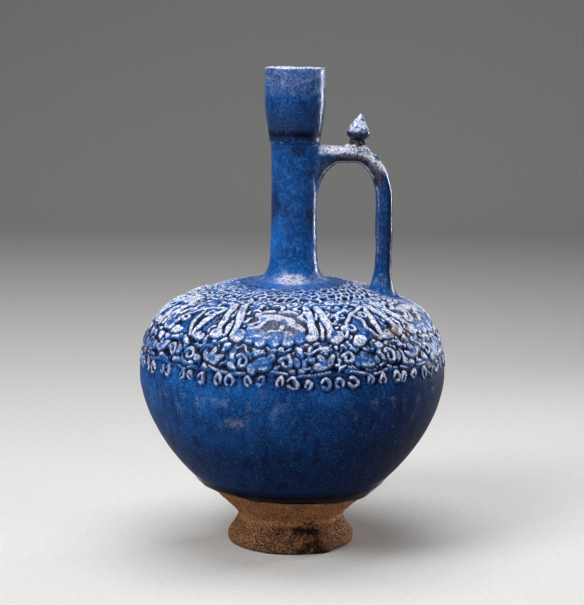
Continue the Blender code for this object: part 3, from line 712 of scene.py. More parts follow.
def cavity_radius(z):
    """Radius of the hollow in the lower half, a superellipse as the bowl is."""
    share = np.clip(1 - (np.abs(seam_z - z) / CAVITY_DROP) ** CAVITY_FULLNESS, 0, 1)
    return CAVITY_RADIUS * share ** (1 / CAVITY_FULLNESS)


def throwing(points):
    """How far the body's skin lies off its true outline: slow waves from the mould, small ones from the
    hand."""
    return 0.20 * wander(points, 60, 1) + 0.05 * wander(points, 11, 2)


def side_of(points):
    """Angle of each point round the jug, the arctangent of x over minus y: 0 in front, and growing towards
    the handle."""
    return np.arctan2(points[..., 0], -points[..., 1])


def run_down_and_shade(points):
    """How dark the plain belly is: gathered glaze and painted shade towards the foot, and painted shade on
    the handle's side.
    """
    return 0.2 + 0.22 * smooth(points[..., 2], 104.0, 60.0) + 0.5 * hump(side_of(points), 1.35, 0.75)


def belly(columns=520):
    """The outside from the seam to the foot of the belly, and the inside back up."""
    outer_z = np.linspace(seam_z, BELLY_FOOT_Z, 84)
    inner_z = np.linspace(BELLY_FOOT_Z + 1.0, seam_z, 16)
    outside = turned(bowl_radius(outer_z), outer_z, columns)
    outside = outside - facing(outside, False) * throwing(outside)[..., None]
    points = np.concatenate([outside, turned(cavity_radius(inner_z), inner_z, columns)])
    z = points[..., 2]
    # Gathered glaze and painted shade, darker towards the foot and on the handle's side.
    pool = run_down_and_shade(points) + 0.12 * spots(points * RUNNING, 9, 24, 0.0, 1.4) * smooth(z, 103.0, 96.0)
    streaks = spots(points * RUNNING, 6, 23, 0.2, 1.3) * smooth(z, 72.0, 98.0)
    pale = 0.22 * smooth(z, 94.0, 103.0) * spots(points, 13, 21, -0.2, 1.2) + 0.2 * streaks
    scuff = hump(z, 91.0, 3.2) * patch(columns, -20.5, 4.5)
    soil = 0.5 * scuff * spots(points, 4, 22, -0.4, 0.6)
    return points, dict(pool=pool, bloom=pale + 0.45 * scuff, stain=soil, matt=1.0)


skin("glazed_belly", *belly(), glaze, "cobalt_glaze", ["lower_bowl"])

# %% [markdown]
# ## Roll of run glaze
#
# The glaze gathered in a roll where it stopped. The edge runs out of level, lowest on the handle's side,
# and the roll is thickest there. A bevelled curve would be as thick all round, so it is a bead whose
# section is worked out anew at every angle: it starts flush on the belly, swells, and turns under in a
# round nose onto the clay.

# %% Roll of run glaze
ROLL_EDGE_Z, ROLL_TOP_Z = 33.6, 44.8
ROLL_RADIUS, ROLL_MIDDLE_Z = 52.0, 38.0
ROLL_TILT = 2.4
ROLL_NOSE = 0.22


def glaze_roll(columns=720, rows=26):
    """Height off the body along the section: thickness times a round nose times an easing out to
    nothing."""
    turn = around(columns)
    rim = turned([ROLL_RADIUS], [ROLL_MIDDLE_Z], columns)[0]
    wave = 0.55 * wander(rim, 26, 31) + 0.35 * wander(rim, 9, 32)
    edge_z = ROLL_EDGE_Z + ROLL_TILT * (1 - np.sin(turn)) + wave
    thickness = 1.7 + 0.6 * np.sin(turn + 0.5) + 0.25 * wander(rim, 14, 33)
    share = np.linspace(0, 1, rows)[:, None]
    z = edge_z + (ROLL_TOP_Z - edge_z) * share
    on_bowl = np.where(z > BELLY_FOOT_Z, bowl_radius(z), 0)
    join = smooth(z, BELLY_FOOT_Z - 5.0, BELLY_FOOT_Z)
    radius = np.maximum(on_bowl, cone_radius(z) + join * (bowl_radius(z) - cone_radius(z)))
    nose = np.sqrt(1 - (1 - np.clip(share / ROLL_NOSE, 0, 1)) ** 2)
    lift = thickness * nose * (1 - smooth(share, 0.12, 1.0)) + 0.04
    lift[-1] = -0.3
    front = turned(radius + 0.66 * lift, z - 0.75 * lift, columns)
    front = front + facing(front, False) * throwing(front)[..., None]
    back = turned(radius - 1.2, z + 0.6, columns)[::-3]
    thin = np.concatenate([smooth(share, 0.45, 0.95) * np.ones(columns), np.zeros((len(back), columns))])
    return np.concatenate([front, back]), dict(thin=thin)


skin("run_glaze_roll", *glaze_roll(), run_glaze, "pooled_glaze", ["glaze_roll"])

# %% [markdown]
# ## The moulded frieze
#
# The upper half was pressed into a carved mould, so its ornament stands about two millimetres off the
# wall: a net of fine stems round the neck, a row of scrolls, a broad band of tall paired leaves with
# running hares and arched panels between them, rows of round buds and curls, a thin line in swags and a
# fringe of hanging loops. It could be sculpted, or pushed out by a picture. Here it is a height chart of
# the shoulder, unrolled into rows down the wall and columns round it. Each form is a function of local
# millimetres that is pressed into the chart at its place, and where forms meet the higher one stays.

# %% Chart of the shoulder
fillet_radius = node_box("neck_fillet")[1][0]
CHART_COLUMNS = 1200
ZONE_NAMES = ("scroll_zone", "frieze_zone", "fringe_zone")
ZONE_ROWS = 75
CHART_ROWS = len(ZONE_NAMES) * ZONE_ROWS + 1
OUTLINE_STEPS = 8000


def shoulder_outline(count):
    """Radius, height and way down the wall of points evenly spaced from the neck's fillet to the seam."""
    end = math.acos((fillet_radius / belly_radius) ** (SHOULDER_FULLNESS / 2))
    turn = np.linspace(end, 0, OUTLINE_STEPS)
    radius = belly_radius * np.cos(turn) ** (2 / SHOULDER_FULLNESS)
    height = shoulder_z(radius)
    way = np.concatenate([[0], np.cumsum(np.hypot(np.diff(radius), np.diff(height)))])
    even = np.linspace(0, way[-1], count)
    return np.interp(even, way, radius), np.interp(even, way, height), even


chart_radius, chart_z, chart_way = shoulder_outline(CHART_ROWS)
chart_points = turned(chart_radius, chart_z, CHART_COLUMNS)
down = chart_way[:, None]
# A carver's hand is never quite true: every form is drawn up to about a millimetre out of place.
hand_x, hand_y = (0.55 * wander(chart_points, 9, seed) for seed in (43, 44))
print("the wall is", round(chart_way[-1], 1), "mm from fillet to seam")

# %% Ribbons


def ribbon(path, half_widths, top, flat=2.4):
    """A raised ribbon along a path. Where it is w wide each way, its height at distance d is
    top (1 - (d / w)^flat)^(1 / flat)."""
    path = np.asarray(path, float)
    width = np.interp(np.linspace(0, 1, len(path)), np.linspace(0, 1, len(half_widths)), half_widths)

    def form(x, y):
        share = np.full(x.shape, np.inf)
        for start, step, w0, w1 in zip(path, np.diff(path, axis=0), width, width[1:]):
            t = np.clip(((x - start[0]) * step[0] + (y - start[1]) * step[1]) / (step @ step), 0, 1)
            away = np.hypot(x - start[0] - t * step[0], y - start[1] - t * step[1])
            share = np.minimum(share, away / (w0 + t * (w1 - w0)))
        return top * np.clip(1 - share ** flat, 0, 1) ** (1 / flat)

    return form


def curl(x0, y0, radius, start_turn, turns, end_share=0.3, count=22):
    """A path that winds in: the angle runs turns times round while the radius shrinks evenly to
    end_share."""
    t = np.linspace(0, 1, count)
    angle = 2 * math.pi * (start_turn + turns * t)
    reach = radius * (1 - (1 - end_share) * t)
    return np.stack([x0 + reach * np.cos(angle), y0 + reach * np.sin(angle)], axis=1)


two_wide = ribbon([(0, 0), (5, 0)], [1.0], 1.5)
off_middle = two_wide(np.array([2.0]), np.array([0.5]))
print("a ribbon 1.5 mm high is", off_middle.round(2), "mm high half-way to its edge")

# %% Domes and plates


def dome(x0, y0, x_radius, y_radius, top, tilt=0.0):
    """A rounded boss, a little flat on top: top (1 - q^3)^(1 / 3), where q is the distance in radii."""
    c, s = math.cos(tilt), math.sin(tilt)

    def form(x, y):
        along = (c * (x - x0) + s * (y - y0)) / x_radius
        across = (c * (y - y0) - s * (x - x0)) / y_radius
        return top * np.cbrt(np.clip(1 - np.hypot(along, across) ** 3, 0, 1))

    return form


def plate(x0, y0, x_radius, y_radius, top, tilt=0.0):
    """A flat raised field with steep sides: top (1 - q^6)^(1 / 3), where q grows from the middle to the
    edge like the radius of a superellipse of power 3."""
    c, s = math.cos(tilt), math.sin(tilt)

    def form(x, y):
        along = np.abs(c * (x - x0) + s * (y - y0)) / x_radius
        across = np.abs(c * (y - y0) - s * (x - x0)) / y_radius
        return top * np.clip(1 - (along ** 3 + across ** 3) ** 2, 0, 1) ** (1 / 3)

    return form


boss = dome(0.0, 0.0, 3.0, 3.0, 2.0)(np.array([0.0]), np.array([2.0]))
print("a dome 2 mm high is", boss.round(2), "mm high two thirds of the way out")

# %% Press forms into the chart


def press(chart, forms, degrees, way, reach, turn=0.0):
    """Presses forms into the chart round one place; x runs round the jug and y down the wall, in mm."""
    middle = np.interp(way, chart_way, chart_radius)
    rows = np.flatnonzero(np.abs(chart_way - way) < reach)
    column = degrees / 360 * CHART_COLUMNS
    half = reach / (2 * math.pi * middle) * CHART_COLUMNS
    columns = np.arange(math.floor(column - half), math.ceil(column + half) + 1)
    spot = np.ix_(rows, columns % CHART_COLUMNS)
    x, y = np.meshgrid((columns - column) / CHART_COLUMNS * 2 * math.pi * middle, chart_way[rows] - way)
    x, y = x + hand_x[spot], y + hand_y[spot]
    c, s = math.cos(turn), math.sin(turn)
    x, y = c * x + s * y, c * y - s * x
    chart[spot] = np.max([chart[spot]] + [form(x, y) for form in forms], axis=0)


trial = np.zeros((CHART_ROWS, CHART_COLUMNS))
press(trial, [dome(0.0, 0.0, 5.0, 5.0, 1.0)], 0.0, 40.0, 6.0)
print("a trial boss covers", np.count_nonzero(trial), "points of the chart")

# %% Tall leaves


def leaf_pair():
    """Two tall leaves side by side: a flat blade each, two short side lobes and a bulb at its base."""
    blade = [2.2, 3.0, 3.0, 2.8, 2.6, 2.4, 2.4, 2.8]
    left = bezier((-8.4, -15.2), (-7.4, -6.0), (-6.0, 2.0), (-5.2, 10.0), 14)
    right = bezier((-0.4, -15.6), (1.4, -6.0), (3.4, 2.0), (4.4, 9.0), 14)
    lobes = [
        [(-6.6, -6.0), (-9.0, -7.6), (-10.4, -10.6)], [(-3.4, -3.0), (-2.2, -6.4), (-2.8, -9.6)],
        [(2.6, -6.0), (5.4, -7.4), (6.6, -10.4)], [(4.4, 2.0), (7.4, 1.0), (8.8, -2.4)],
    ]
    forms = [ribbon(left, blade, 2.3, 4.0), ribbon(right, blade, 2.4, 4.0)]
    forms += [ribbon(lobe, [1.3, 1.5, 0.8], 1.8) for lobe in lobes]
    forms += [dome(-6.0, 11.0, 4.2, 3.4, 2.2), dome(6.4, 11.0, 5.6, 4.4, 2.4)]
    forms += [dome(12.0, 5.0, 2.6, 4.2, 1.8, 0.4)]
    return forms + [ribbon([(-1.0, 0.0), (-0.4, 6.0), (-1.2, 12.0)], [1.0, 1.6, 1.3], 1.6)]


print("a leaf pair is", len(leaf_pair()), "forms")

# %% Running hare
HARE_SIZE, HARE_RIGHT = 1.18, 1.2


def hare():
    """A running hare, drawn HARE_SIZE times as large and a little to the right of the middle of its
    field."""
    field = plate(0.0, 1.0, 15.8, 13.0, 0.8)
    parts = [
        ribbon([(-8.0, -4.4), (-2.0, -4.6), (5.0, -2.4), (11.6, 4.8)], [2.7, 2.8, 2.8, 1.5], 2.6, 3.4),
        dome(5.6, -1.6, 4.0, 3.2, 2.7, 0.5), ribbon([(-8.0, -4.6), (-12.6, -7.4)], [2.2, 1.5], 2.4),
        ribbon([(-11.0, -7.6), (-7.6, -10.0), (-3.0, -10.2)], [0.9, 1.3, 0.8], 2.2),
        ribbon([(-8.0, -2.6), (-10.8, 0.2), (-14.4, 0.6)], [1.5, 1.2, 1.0], 2.2),
        ribbon([(-6.0, -2.0), (-9.0, 3.4), (-13.6, 4.4)], [1.6, 1.3, 1.0], 2.2),
        ribbon([(3.0, 0.0), (1.0, 4.6), (-3.6, 5.4)], [1.7, 1.3, 0.9], 2.2),
        ribbon([(0.0, -9.4), (5.0, -10.2), (10.0, -8.0)], [0.9, 1.5, 1.1], 2.1),
        ribbon([(-12.8, 8.6), (-3.0, 8.2)], [1.4, 1.2], 1.9),
        ribbon([(13.4, -8.4), (11.0, -5.0), (13.4, -1.4)], [1.2, 1.4, 1.0], 2.0),
    ]
    drawn = [lambda x, y, part=part: part((x - HARE_RIGHT) / HARE_SIZE, y / HARE_SIZE) for part in parts]
    return [field] + drawn


def hanging_lobes():
    """The lobes under a hare's field, like the edge of a cloud: five bosses on a shallow arc."""
    return [dome(x, 10.6 - 0.012 * x * x, 4.6, 6.2, 1.7) for x in (-13.0, -6.6, 0.0, 6.6, 13.2)]


print("a hare is", len(hare()), "forms over", len(hanging_lobes()), "lobes")

# %% Arched panels, buds and loops


def arched_panel():
    """A leaning lobed panel under a long sweeping stem, with a wavy stem, a broad blade and two rings on
    it."""
    sweep = bezier((-14.0, 9.0), (-12.0, -4.0), (-2.0, -10.0), (12.4, -13.4), 14)
    wave = bezier((-3.0, -7.0), (3.0, -2.0), (-3.0, 4.0), (4.0, 13.0), 12)
    blade = bezier((13.0, -12.0), (9.0, -3.0), (6.0, 4.0), (6.6, 12.0), 12)
    parts = [
        plate(-3.0, 4.5, 9.0, 8.6, 1.0, -0.5), plate(8.6, 1.0, 5.6, 10.0, 1.1, 0.2),
        ribbon(sweep, [0.9, 1.3, 1.4, 1.2], 2.1), ribbon(wave, [0.9, 1.4, 1.4, 1.1], 2.0),
        ribbon(blade, [1.4, 2.0, 2.2, 2.0], 2.3, 3.6),
        dome(-8.0, 12.6, 5.0, 3.4, 1.9, -0.3), dome(10.4, 12.0, 3.8, 3.2, 1.9),
    ]
    rings = [curl(x, y, 2.5, 0.2, 1.0, 0.9) for x, y in ((-9.6, 3.2), (5.4, -5.6))]
    return parts + [ribbon(ring, [1.2], 2.0) for ring in rings]


def bud_and_curl(kind):
    """One of the round forms of the lower row: a wound curl, a broad lump or a fan of three leaves."""
    if kind == 0:
        wound = ribbon(curl(0.0, 0.0, 3.9, 0.6, 1.0, 0.4), [1.5, 1.4, 1.1], 1.8)
        return [wound, dome(5.8, 1.6, 2.4, 3.2, 1.5)]
    if kind == 1:
        lump = dome(0.0, 0.4, 6.4, 4.6, 1.6, 0.15)
        return [lump, dome(-5.8, 2.0, 2.8, 3.4, 1.4), dome(5.6, -1.4, 3.0, 2.8, 1.5)]
    return [dome(math.sin(a) * 3.6, 2.2 - math.cos(a) * 3.6, 2.5, 4.6, 1.9, a) for a in (-1.1, -0.1, 1.0)]


def drop_loop(width, length, opening):
    """A loop like a hanging hook: most of an oval ring, from a gap at its opening, lower towards its
    foot."""
    turn = opening + np.linspace(0.55, 2 * math.pi - 0.55, 22)
    ring = np.stack([width * np.sin(turn) * (1 - 0.18 * np.cos(turn)), -length * np.cos(turn)], axis=1)
    loop = ribbon(ring, [0.6, 1.0, 1.3, 1.4, 1.0], 1.6, 2.0)
    return [lambda x, y: loop(x, y) * (1 - 0.4 * smooth(y, -1.0, length + 1.0))]


print("an arched panel is", len(arched_panel()), "forms")

# %% [markdown]
# Between the main forms the mould is filled with fine stems that have grown together. Hundreds of them
# could be drawn one by one. It is quicker to scatter seeds over the chart, as for a Voronoi texture: a
# stem runs wherever the two nearest seeds are about equally far, and a lump stands on each seed.

# %% Ground of stems grown together
FAR = 99.0


def grown_net(start, end, cell_x, cell_y, lean, seed):
    """How far each point of the chart is from the nearest and the second nearest of many seeds, in mm.
    The seeds stand in uneven rows down the wall, and lean shears the cells between them."""
    rng = np.random.default_rng(seed)
    share = np.arange(CHART_COLUMNS) / CHART_COLUMNS
    nearest = np.full((CHART_ROWS, CHART_COLUMNS), FAR)
    second = nearest.copy()
    for way in np.arange(start, end, cell_y):
        count = round(2 * math.pi * np.interp(way, chart_way, chart_radius) / cell_x)
        off_x, off_y = rng.uniform(-0.36, 0.36, (2, count))
        rows = np.flatnonzero(np.abs(chart_way - way) < 2.5 * cell_y)
        for step in (-1, 0, 1):
            index = np.floor(share * count).astype(int) + step
            cells = share * count - index - 0.5 - off_x[index % count]
            x = cells / count * 2 * math.pi * chart_radius[rows, None]
            y = down[rows] - way - off_y[index % count] * cell_y
            away = np.hypot(x + lean * y + hand_x[rows], y + hand_y[rows])
            second[rows] = np.minimum(second[rows], np.maximum(nearest[rows], away))
            nearest[rows] = np.minimum(nearest[rows], away)
    return nearest, second


def round_top(away, half_width):
    """Height of a half-round ridge of height 1, away from its middle line: sqrt(1 - (away / half
    width)^2)."""
    return np.sqrt(np.clip(1 - (away / half_width) ** 2, 0, 1))


def stems(net, half_width, top):
    """Round-topped stems between the cells of a net, where the two nearest seeds are about equally far."""
    nearest, second = net
    return top * round_top(second - nearest, 2 * half_width)


def belt(start, full, fade, end):
    """A belt of the chart: eases from 0 to 1 between start and full, and back between fade and end, in
    mm."""
    return smooth(down, start, full) * smooth(down, end, fade)


small_net = grown_net(1.0, 27.0, 5.2, 4.4, 0.5, 61)
ground = stems(small_net, 0.8, 0.75 + 0.25 * smooth(down, 2.0, 12.0)) * smooth(down, 27.0, 22.0)

band_net = grown_net(22.0, 66.0, 6.6, 7.2, 0.4, 62)
stem_width = np.clip(1.5 + 0.4 * wander(chart_points, 9, 49), 0.8, 2.4)
band_stems = stems(band_net, stem_width, 1.5 + 0.3 * wander(chart_points, 8, 45))
band_stems = band_stems * spots(chart_points, 7, 50, -1.5, -0.5)
in_cells = 0.9 * round_top(band_net[0], 1.7) * spots(chart_points, 10, 46, 0.0, 0.6)
ground = np.maximum(ground, np.maximum(band_stems, in_cells) * belt(21.0, 26.0, 58.0, 64.0))

lower_net = grown_net(56.0, 84.0, 8.2, 6.6, -0.3, 63)
lower_lumps = 1.6 * round_top(lower_net[0], 4.3) * spots(chart_points, 12, 55, -1.0, 0.1)
ground = np.maximum(ground, lower_lumps * belt(57.0, 62.0, 75.0, 79.0))

lattice_net = grown_net(57.0, 82.0, 5.4, 4.6, 0.25, 64)
lattice = stems(lattice_net, 0.7, 1.35) * spots(chart_points, 9, 59, -1.0, -0.1)
lattice = lattice * (0.35 + 0.65 * patch(CHART_COLUMNS, 4, 26))
ground = np.maximum(ground, lattice * belt(57.0, 61.0, 74.0, 78.0))
print("ground stems up to", round(ground.max(), 2), "mm")

# %% Row of round scrolls


def scroll_row(chart, way, count, radius, width, top, seed):
    """A row of curls round the jug, unlike in size, each with a stem towards the next."""
    rng = np.random.default_rng(seed)
    pitch = 2 * math.pi * np.interp(way, chart_way, chart_radius) / count
    for i in range(count):
        size = radius * rng.uniform(0.75, 1.1)
        path = curl(0.0, 0.0, size, rng.uniform(0, 1), rng.uniform(0.8, 1.3), 0.35, 18)
        stem = bezier(path[0], (size, -size), (pitch - size, size), (pitch, rng.uniform(-1, 1)), 7)
        forms = [ribbon(path, [width, width * 0.8], top), ribbon(stem, [width, width * 0.6], top * 0.8)]
        degrees = (i + rng.uniform(-0.2, 0.2)) * 360 / count
        press(chart, forms, degrees, way + rng.uniform(-0.7, 0.7), pitch + 3)


main_forms = np.zeros_like(ground)
scroll_row(main_forms, 23.6, 33, 3.2, 1.25, 1.3, 7)
print("scrolls up to", round(main_forms.max(), 2), "mm")

# %% Main forms
# Places are in degrees round the jug and in mm down the wall. A period without a hare has an arched panel.
PERIODS = 9
HARES = (0, 2, 4, 6)
LEAVES_AT, LEAVES_WAY = 12.5, 44.5
FIGURES_AT, HARE_WAY, PANEL_WAY = -7.5, 45.6, 45.5
BUDS, BUD_WAY = 36, 70.6
LOOPS, LOOP_WAY = 64, 82.8
rng = np.random.default_rng(5)
hare_fields, lumps = np.zeros_like(ground), np.zeros_like(ground)
for i in range(PERIODS):
    turn = 360 / PERIODS * i
    leaves_at = LEAVES_AT + turn + rng.uniform(-1, 1)
    press(main_forms, leaf_pair(), leaves_at, LEAVES_WAY, 21, rng.uniform(-0.04, 0.06))
    if i in HARES:
        field = plate(0.0, 0.0, 15.8, 12.0, 1.0)
        layers = ((main_forms, hare() + hanging_lobes()), (hare_fields, [field]), (lumps, hanging_lobes()))
        for chart, forms in layers:
            press(chart, forms, FIGURES_AT + turn, HARE_WAY, 20, -0.03)
    else:
        press(main_forms, arched_panel(), FIGURES_AT + turn, PANEL_WAY, 19, rng.uniform(-0.12, 0.12))
for i in range(BUDS):
    degrees, way = (i + rng.uniform(-0.25, 0.25)) * 360 / BUDS, BUD_WAY + rng.uniform(-1.4, 1.0)
    bud_forms, bud_turn = bud_and_curl(rng.integers(3)), rng.uniform(-0.5, 0.5)
    for chart in (main_forms, lumps):
        press(chart, bud_forms, degrees, way, 10, bud_turn)
for i in range(LOOPS):
    loop = drop_loop(rng.uniform(1.4, 2.3), rng.uniform(2.2, 3.2), rng.uniform(2.3, 5.2))
    degrees, way = (i + rng.uniform(-0.25, 0.25)) * 360 / LOOPS, LOOP_WAY + rng.uniform(-1.2, 0.9)
    press(main_forms, loop, degrees, way, 8, rng.uniform(-0.45, 0.45))
print("main forms up to", round(main_forms.max(), 2), "mm")

# %% Line in swags
SWAGS, SWAG_WAY, SWAG_DROP = 15, 75.8, 2.6
swag = (around(CHART_COLUMNS) / (2 * math.pi) * SWAGS + 0.35) % 1
line_way = SWAG_WAY + SWAG_DROP * (1 - (2 * swag - 1) ** 2) + 0.6 * wander(chart_points, 14, 41)
line = round_top(down - line_way, 0.85) * spots(chart_points, 16, 42, -0.9, 0.4)
main_forms = np.maximum(main_forms, 0.8 * line)
print(SWAGS, "swags from", SWAG_WAY, "to", SWAG_WAY + SWAG_DROP, "mm down the wall")

# %% [markdown]
# A carver cuts a little moat round each main form, and the glaze softens every edge. So the stems of the
# ground are lowered near the main forms, the chart is blurred by a third of a millimetre, and it fades out
# round the foot of the handle, where wet clay was smeared over it. How far a point stands above the mean
# of its surroundings says whether the glaze there runs thin or pools, and where highlight and shade are
# painted on its edges.

# %% Soften the chart
MEAN_RADIUS = 78.0
HANDLE_FOOT_X = 57.3


def blur(chart, size):
    """Gaussian mean over about size mm, by the Fourier transform; the chart is mirrored at its two
    edges."""
    tall = np.concatenate([chart, chart[::-1]])
    up = np.fft.fftfreq(len(tall), chart_way[1])[:, None]
    across = np.fft.rfftfreq(CHART_COLUMNS, 2 * math.pi * MEAN_RADIUS / CHART_COLUMNS)[None, :]
    weight = np.exp(-2 * (math.pi * size) ** 2 * (up ** 2 + across ** 2))
    return np.fft.irfft2(np.fft.rfft2(tall) * weight, tall.shape)[:CHART_ROWS]


moat = np.clip(1.7 * blur((main_forms > 0.25).astype(float), 0.8), 0, 1)
worn = 1 - 0.35 * spots(chart_points, 12, 47, 0.2, 1.4)
relief = np.maximum(main_forms, ground * (1 - moat)) * worn + 0.07 * wander(chart_points, 2.6, 48, 40)
from_handle = np.hypot(chart_points[..., 0] - HANDLE_FOOT_X, 1.15 * chart_points[..., 1])
off_handle = smooth(from_handle, 12.0, 21.0)
relief = blur(relief, 0.3) * off_handle * smooth(down, 0.2, 2.0) * smooth(down, 93.5, 88.0)
stands_out = relief - blur(relief, 2.2)
edges = relief - blur(relief, 0.9)
print("relief up to", round(relief.max(), 2), "mm, hollows down to", round(stands_out.min(), 2))

# %% Painted highlight round the neck


def highlight_round_neck(points):
    """Painted highlight in a ring about the foot of the neck, with a fainter pale haze round it, strongest
    in front and broken into clouds."""
    radius = np.hypot(points[..., 0], points[..., 1])
    ring = smooth(radius, 15.8, 17.6) * (1 - smooth(radius, 18.8, 24.0))
    haze = 0.22 * smooth(radius, 17.0, 22.0) * (1 - smooth(radius, 26.0, 38.0))
    front = 0.4 + 2.2 * hump(side_of(points), -0.05, 0.38)
    return np.clip((ring * front + haze) * (0.85 + 0.25 * wander(points, 13, 52)), 0, 1)


print("film at the fillet's rim up to", round(highlight_round_neck(chart_points[:1]).max(), 2))

# %% Glaze on the frieze
# The glaze slid down by this many rows of the chart as it melted. The same shift paints highlight on
# upper edges and shade under lower edges.
SLID_AND_LIGHT_SHIFT = 1
# The rows of buds, swags and loops, under the broad band.
lower_rows = smooth(down, 61.0, 67.0)


def thin_and_highlight_on_relief():
    """Thin on edges and on what stands out, with painted highlight on upper edges. Less so in the lower
    rows, on lumps, on the ground and near the neck; more on the side towards the handle."""
    # Thin glaze on edges, shifted up, which paints highlight on upper edges.
    bared_and_lit_above = np.roll(edges, -SLID_AND_LIGHT_SHIFT, axis=0)
    thin = 1.2 * smooth(bared_and_lit_above, 0.0, 0.22) + (0.95 - 0.5 * lower_rows) * smooth(stands_out, 0.0, 0.5)
    thin = thin * (1 - 0.42 * lower_rows - 0.2 * smooth(down, 75.0, 79.0))
    thin = thin * (1 - 0.35 * np.clip(lumps, 0, 1))
    thin = thin * (1 + 0.4 * patch(CHART_COLUMNS, 48, 34)) + 0.15 * hare_fields
    thin = thin * (1 - 0.1 * smooth(down, 28.0, 20.0)) * (0.45 + 0.55 * smooth(down, 2.0, 15.0))
    on_ground = 1 - np.clip(1.2 * blur((main_forms > 0.3).astype(float), 0.4), 0, 1)
    thin = thin * (1 - 0.3 * on_ground * spots(chart_points, 8, 57, -0.6, 0.6))
    return thin * (1.0 + 0.25 * wander(chart_points, 14, 51)) * (1.0 + 0.25 * wander(chart_points, 4, 58))


def pool_and_shade_in_relief():
    """Pooled in hollows and, as it slid, most of all under lower edges, with painted shade there and a
    little over the lower rows. Below the fringe it is the belly's."""
    depth = 0.13 + 0.29 * smooth(down, 16.0, 28.0)
    hollow = smooth(np.roll(stands_out, SLID_AND_LIGHT_SHIFT, axis=0) / depth, 0.0, -1.0)
    # Glaze gathered under edges, shifted down, which paints shade under lower edges.
    gathered_and_shaded_below = smooth(np.roll(edges, SLID_AND_LIGHT_SHIFT, axis=0), -0.06, -0.27)
    pool = 0.76 * hollow * (0.35 + 0.65 * smooth(down, 0.0, 14.0)) + 0.85 * gathered_and_shaded_below
    pool = pool * (1 - 0.5 * smooth(down, 75.0, 82.0)) + smooth(down, 78.0, 92.0) * run_down_and_shade(chart_points)
    # Painted shade over the lower rows.
    return pool + 0.12 * lower_rows * (1 - smooth(down, 76.0, 84.0))


thin_and_highlight_relief, pool_and_shade_relief = thin_and_highlight_on_relief(), pool_and_shade_in_relief()
print("thin and pool on average:", [round(float(film.mean()), 2) for film in (thin_and_highlight_relief, pool_and_shade_relief)])

# %% Film and soil on the frieze


def bloom_and_highlight_on_relief():
    """The painted highlight round the neck, a film round the foot of the handle, and a veil on what stands
    out in the band."""
    veil = 0.26 * smooth(stands_out, -0.1, 0.4) * smooth(down, 24.0, 32.0) * (1 - 0.6 * lower_rows)
    veil = veil + 0.3 * hare_fields
    return highlight_round_neck(chart_points) + 0.5 * smooth(from_handle, 22.0, 13.0) + veil


def soil_on_relief():
    """A brown patch on the right of the front, a few spots all over, and soil in the hares' fields."""
    brown = patch(CHART_COLUMNS, 46, 14) * hump(down, 57.0, 8.0)
    soil = 1.2 * brown * spots(chart_points, 5, 53, 0.1, 0.8) + 0.4 * spots(chart_points, 9, 54, 0.9, 1.7)
    return soil + 0.3 * hare_fields * spots(chart_points, 5, 56, -0.6, 0.8)


matt_relief = 0.45 * smooth(down, 20.0, 40.0) + 0.55 * smooth(down, 74.0, 90.0)
relief_films = (thin_and_highlight_relief, pool_and_shade_relief, bloom_and_highlight_on_relief(), soil_on_relief(), matt_relief)
frieze_fields = {}
for kind, values in zip(FILMS, relief_films):
    frieze_fields[kind] = np.clip(np.broadcast_to(values, chart_points.shape[:2]), 0, 1)
print({kind: round(float(values.mean()), 2) for kind, values in frieze_fields.items()})

# %% [markdown]
# The shoulder is skinned in three bands, because one mesh of it would be larger than a piece should be.
# Each is a closed wall: its part of the frieze outside, and the plain outline moved in by the wall's
# thickness behind.

# %% Three bands of the shoulder
# Share of the carved height that shows, how much lower the ground lies and how thick the wall is, in mm.
RELIEF = 0.85
SUNK = 1.0
WALL = 6.3
WALL_ROWS = 3


def frieze():
    """The shoulder's outline, sunk a little under the frieze, plus the relief along the way the wall
    faces."""
    sunk = SUNK * smooth(down, 15.0, 24.0) * (1 - smooth(down, 66.0, 96.0))
    lift = RELIEF * relief - sunk * off_handle + throwing(chart_points)
    return chart_points - facing(chart_points, False) * lift[..., None]


def under_the_fillet():
    """From the hole for the neck out to the first row of the chart, a little under the fillet's skin."""
    radius = np.array([10.6, 10.5, 20.0, 30.0])
    height = np.array([155.5, 160.6, 160.2, shoulder_z(30.0) - 1.0])
    return turned(radius, height, CHART_COLUMNS)


frieze_points = frieze()
wall_behind = chart_points + facing(chart_points, False) * WALL
for zone, zone_name in enumerate(ZONE_NAMES):
    first, last = zone * ZONE_ROWS, (zone + 1) * ZONE_ROWS
    shown = slice(first, last + 1)
    parts = [frieze_points[shown], wall_behind[np.linspace(last, first, WALL_ROWS).astype(int)]]
    if zone == 0:
        parts.append(under_the_fillet())
    band_points = np.concatenate(parts)
    hidden = np.zeros((len(band_points) - ZONE_ROWS - 1, CHART_COLUMNS))
    band_fields = {kind: np.concatenate([values[shown], hidden]) for kind, values in frieze_fields.items()}
    skin("shoulder_" + zone_name, band_points, band_fields, glaze, "relief_glaze", ["shoulder"])

# %% [markdown]
# ## Neck, fillet, collar and mouth
#
# The neck is a thrown tube, drawn in at its waist. Its foot is smoothed into the shoulder with a coil of
# clay, and a second, thinner ring hides the joint with the mouth. One long outline could give all four,
# but they were separate pieces of clay, so each has its own. They meet on the same ring or overlap, so that
# one glaze seems to run over them.

# %% Neck
HOLE_RADIUS, BORE_RADIUS = 10.5, 9.8
STEP_RADIUS, STEP_Z = 13.2, 162.3
NECK_WAIST_RADIUS, NECK_WAIST_Z = 13.8, 209.0
NECK_TOP_FLARE, NECK_FOOT_FLARE = 0.8, 1.3
JOINT_Z = 242.8
neck_top_z = node_box("neck")[1][2]
fillet_top_z = node_box("neck_fillet")[1][2]


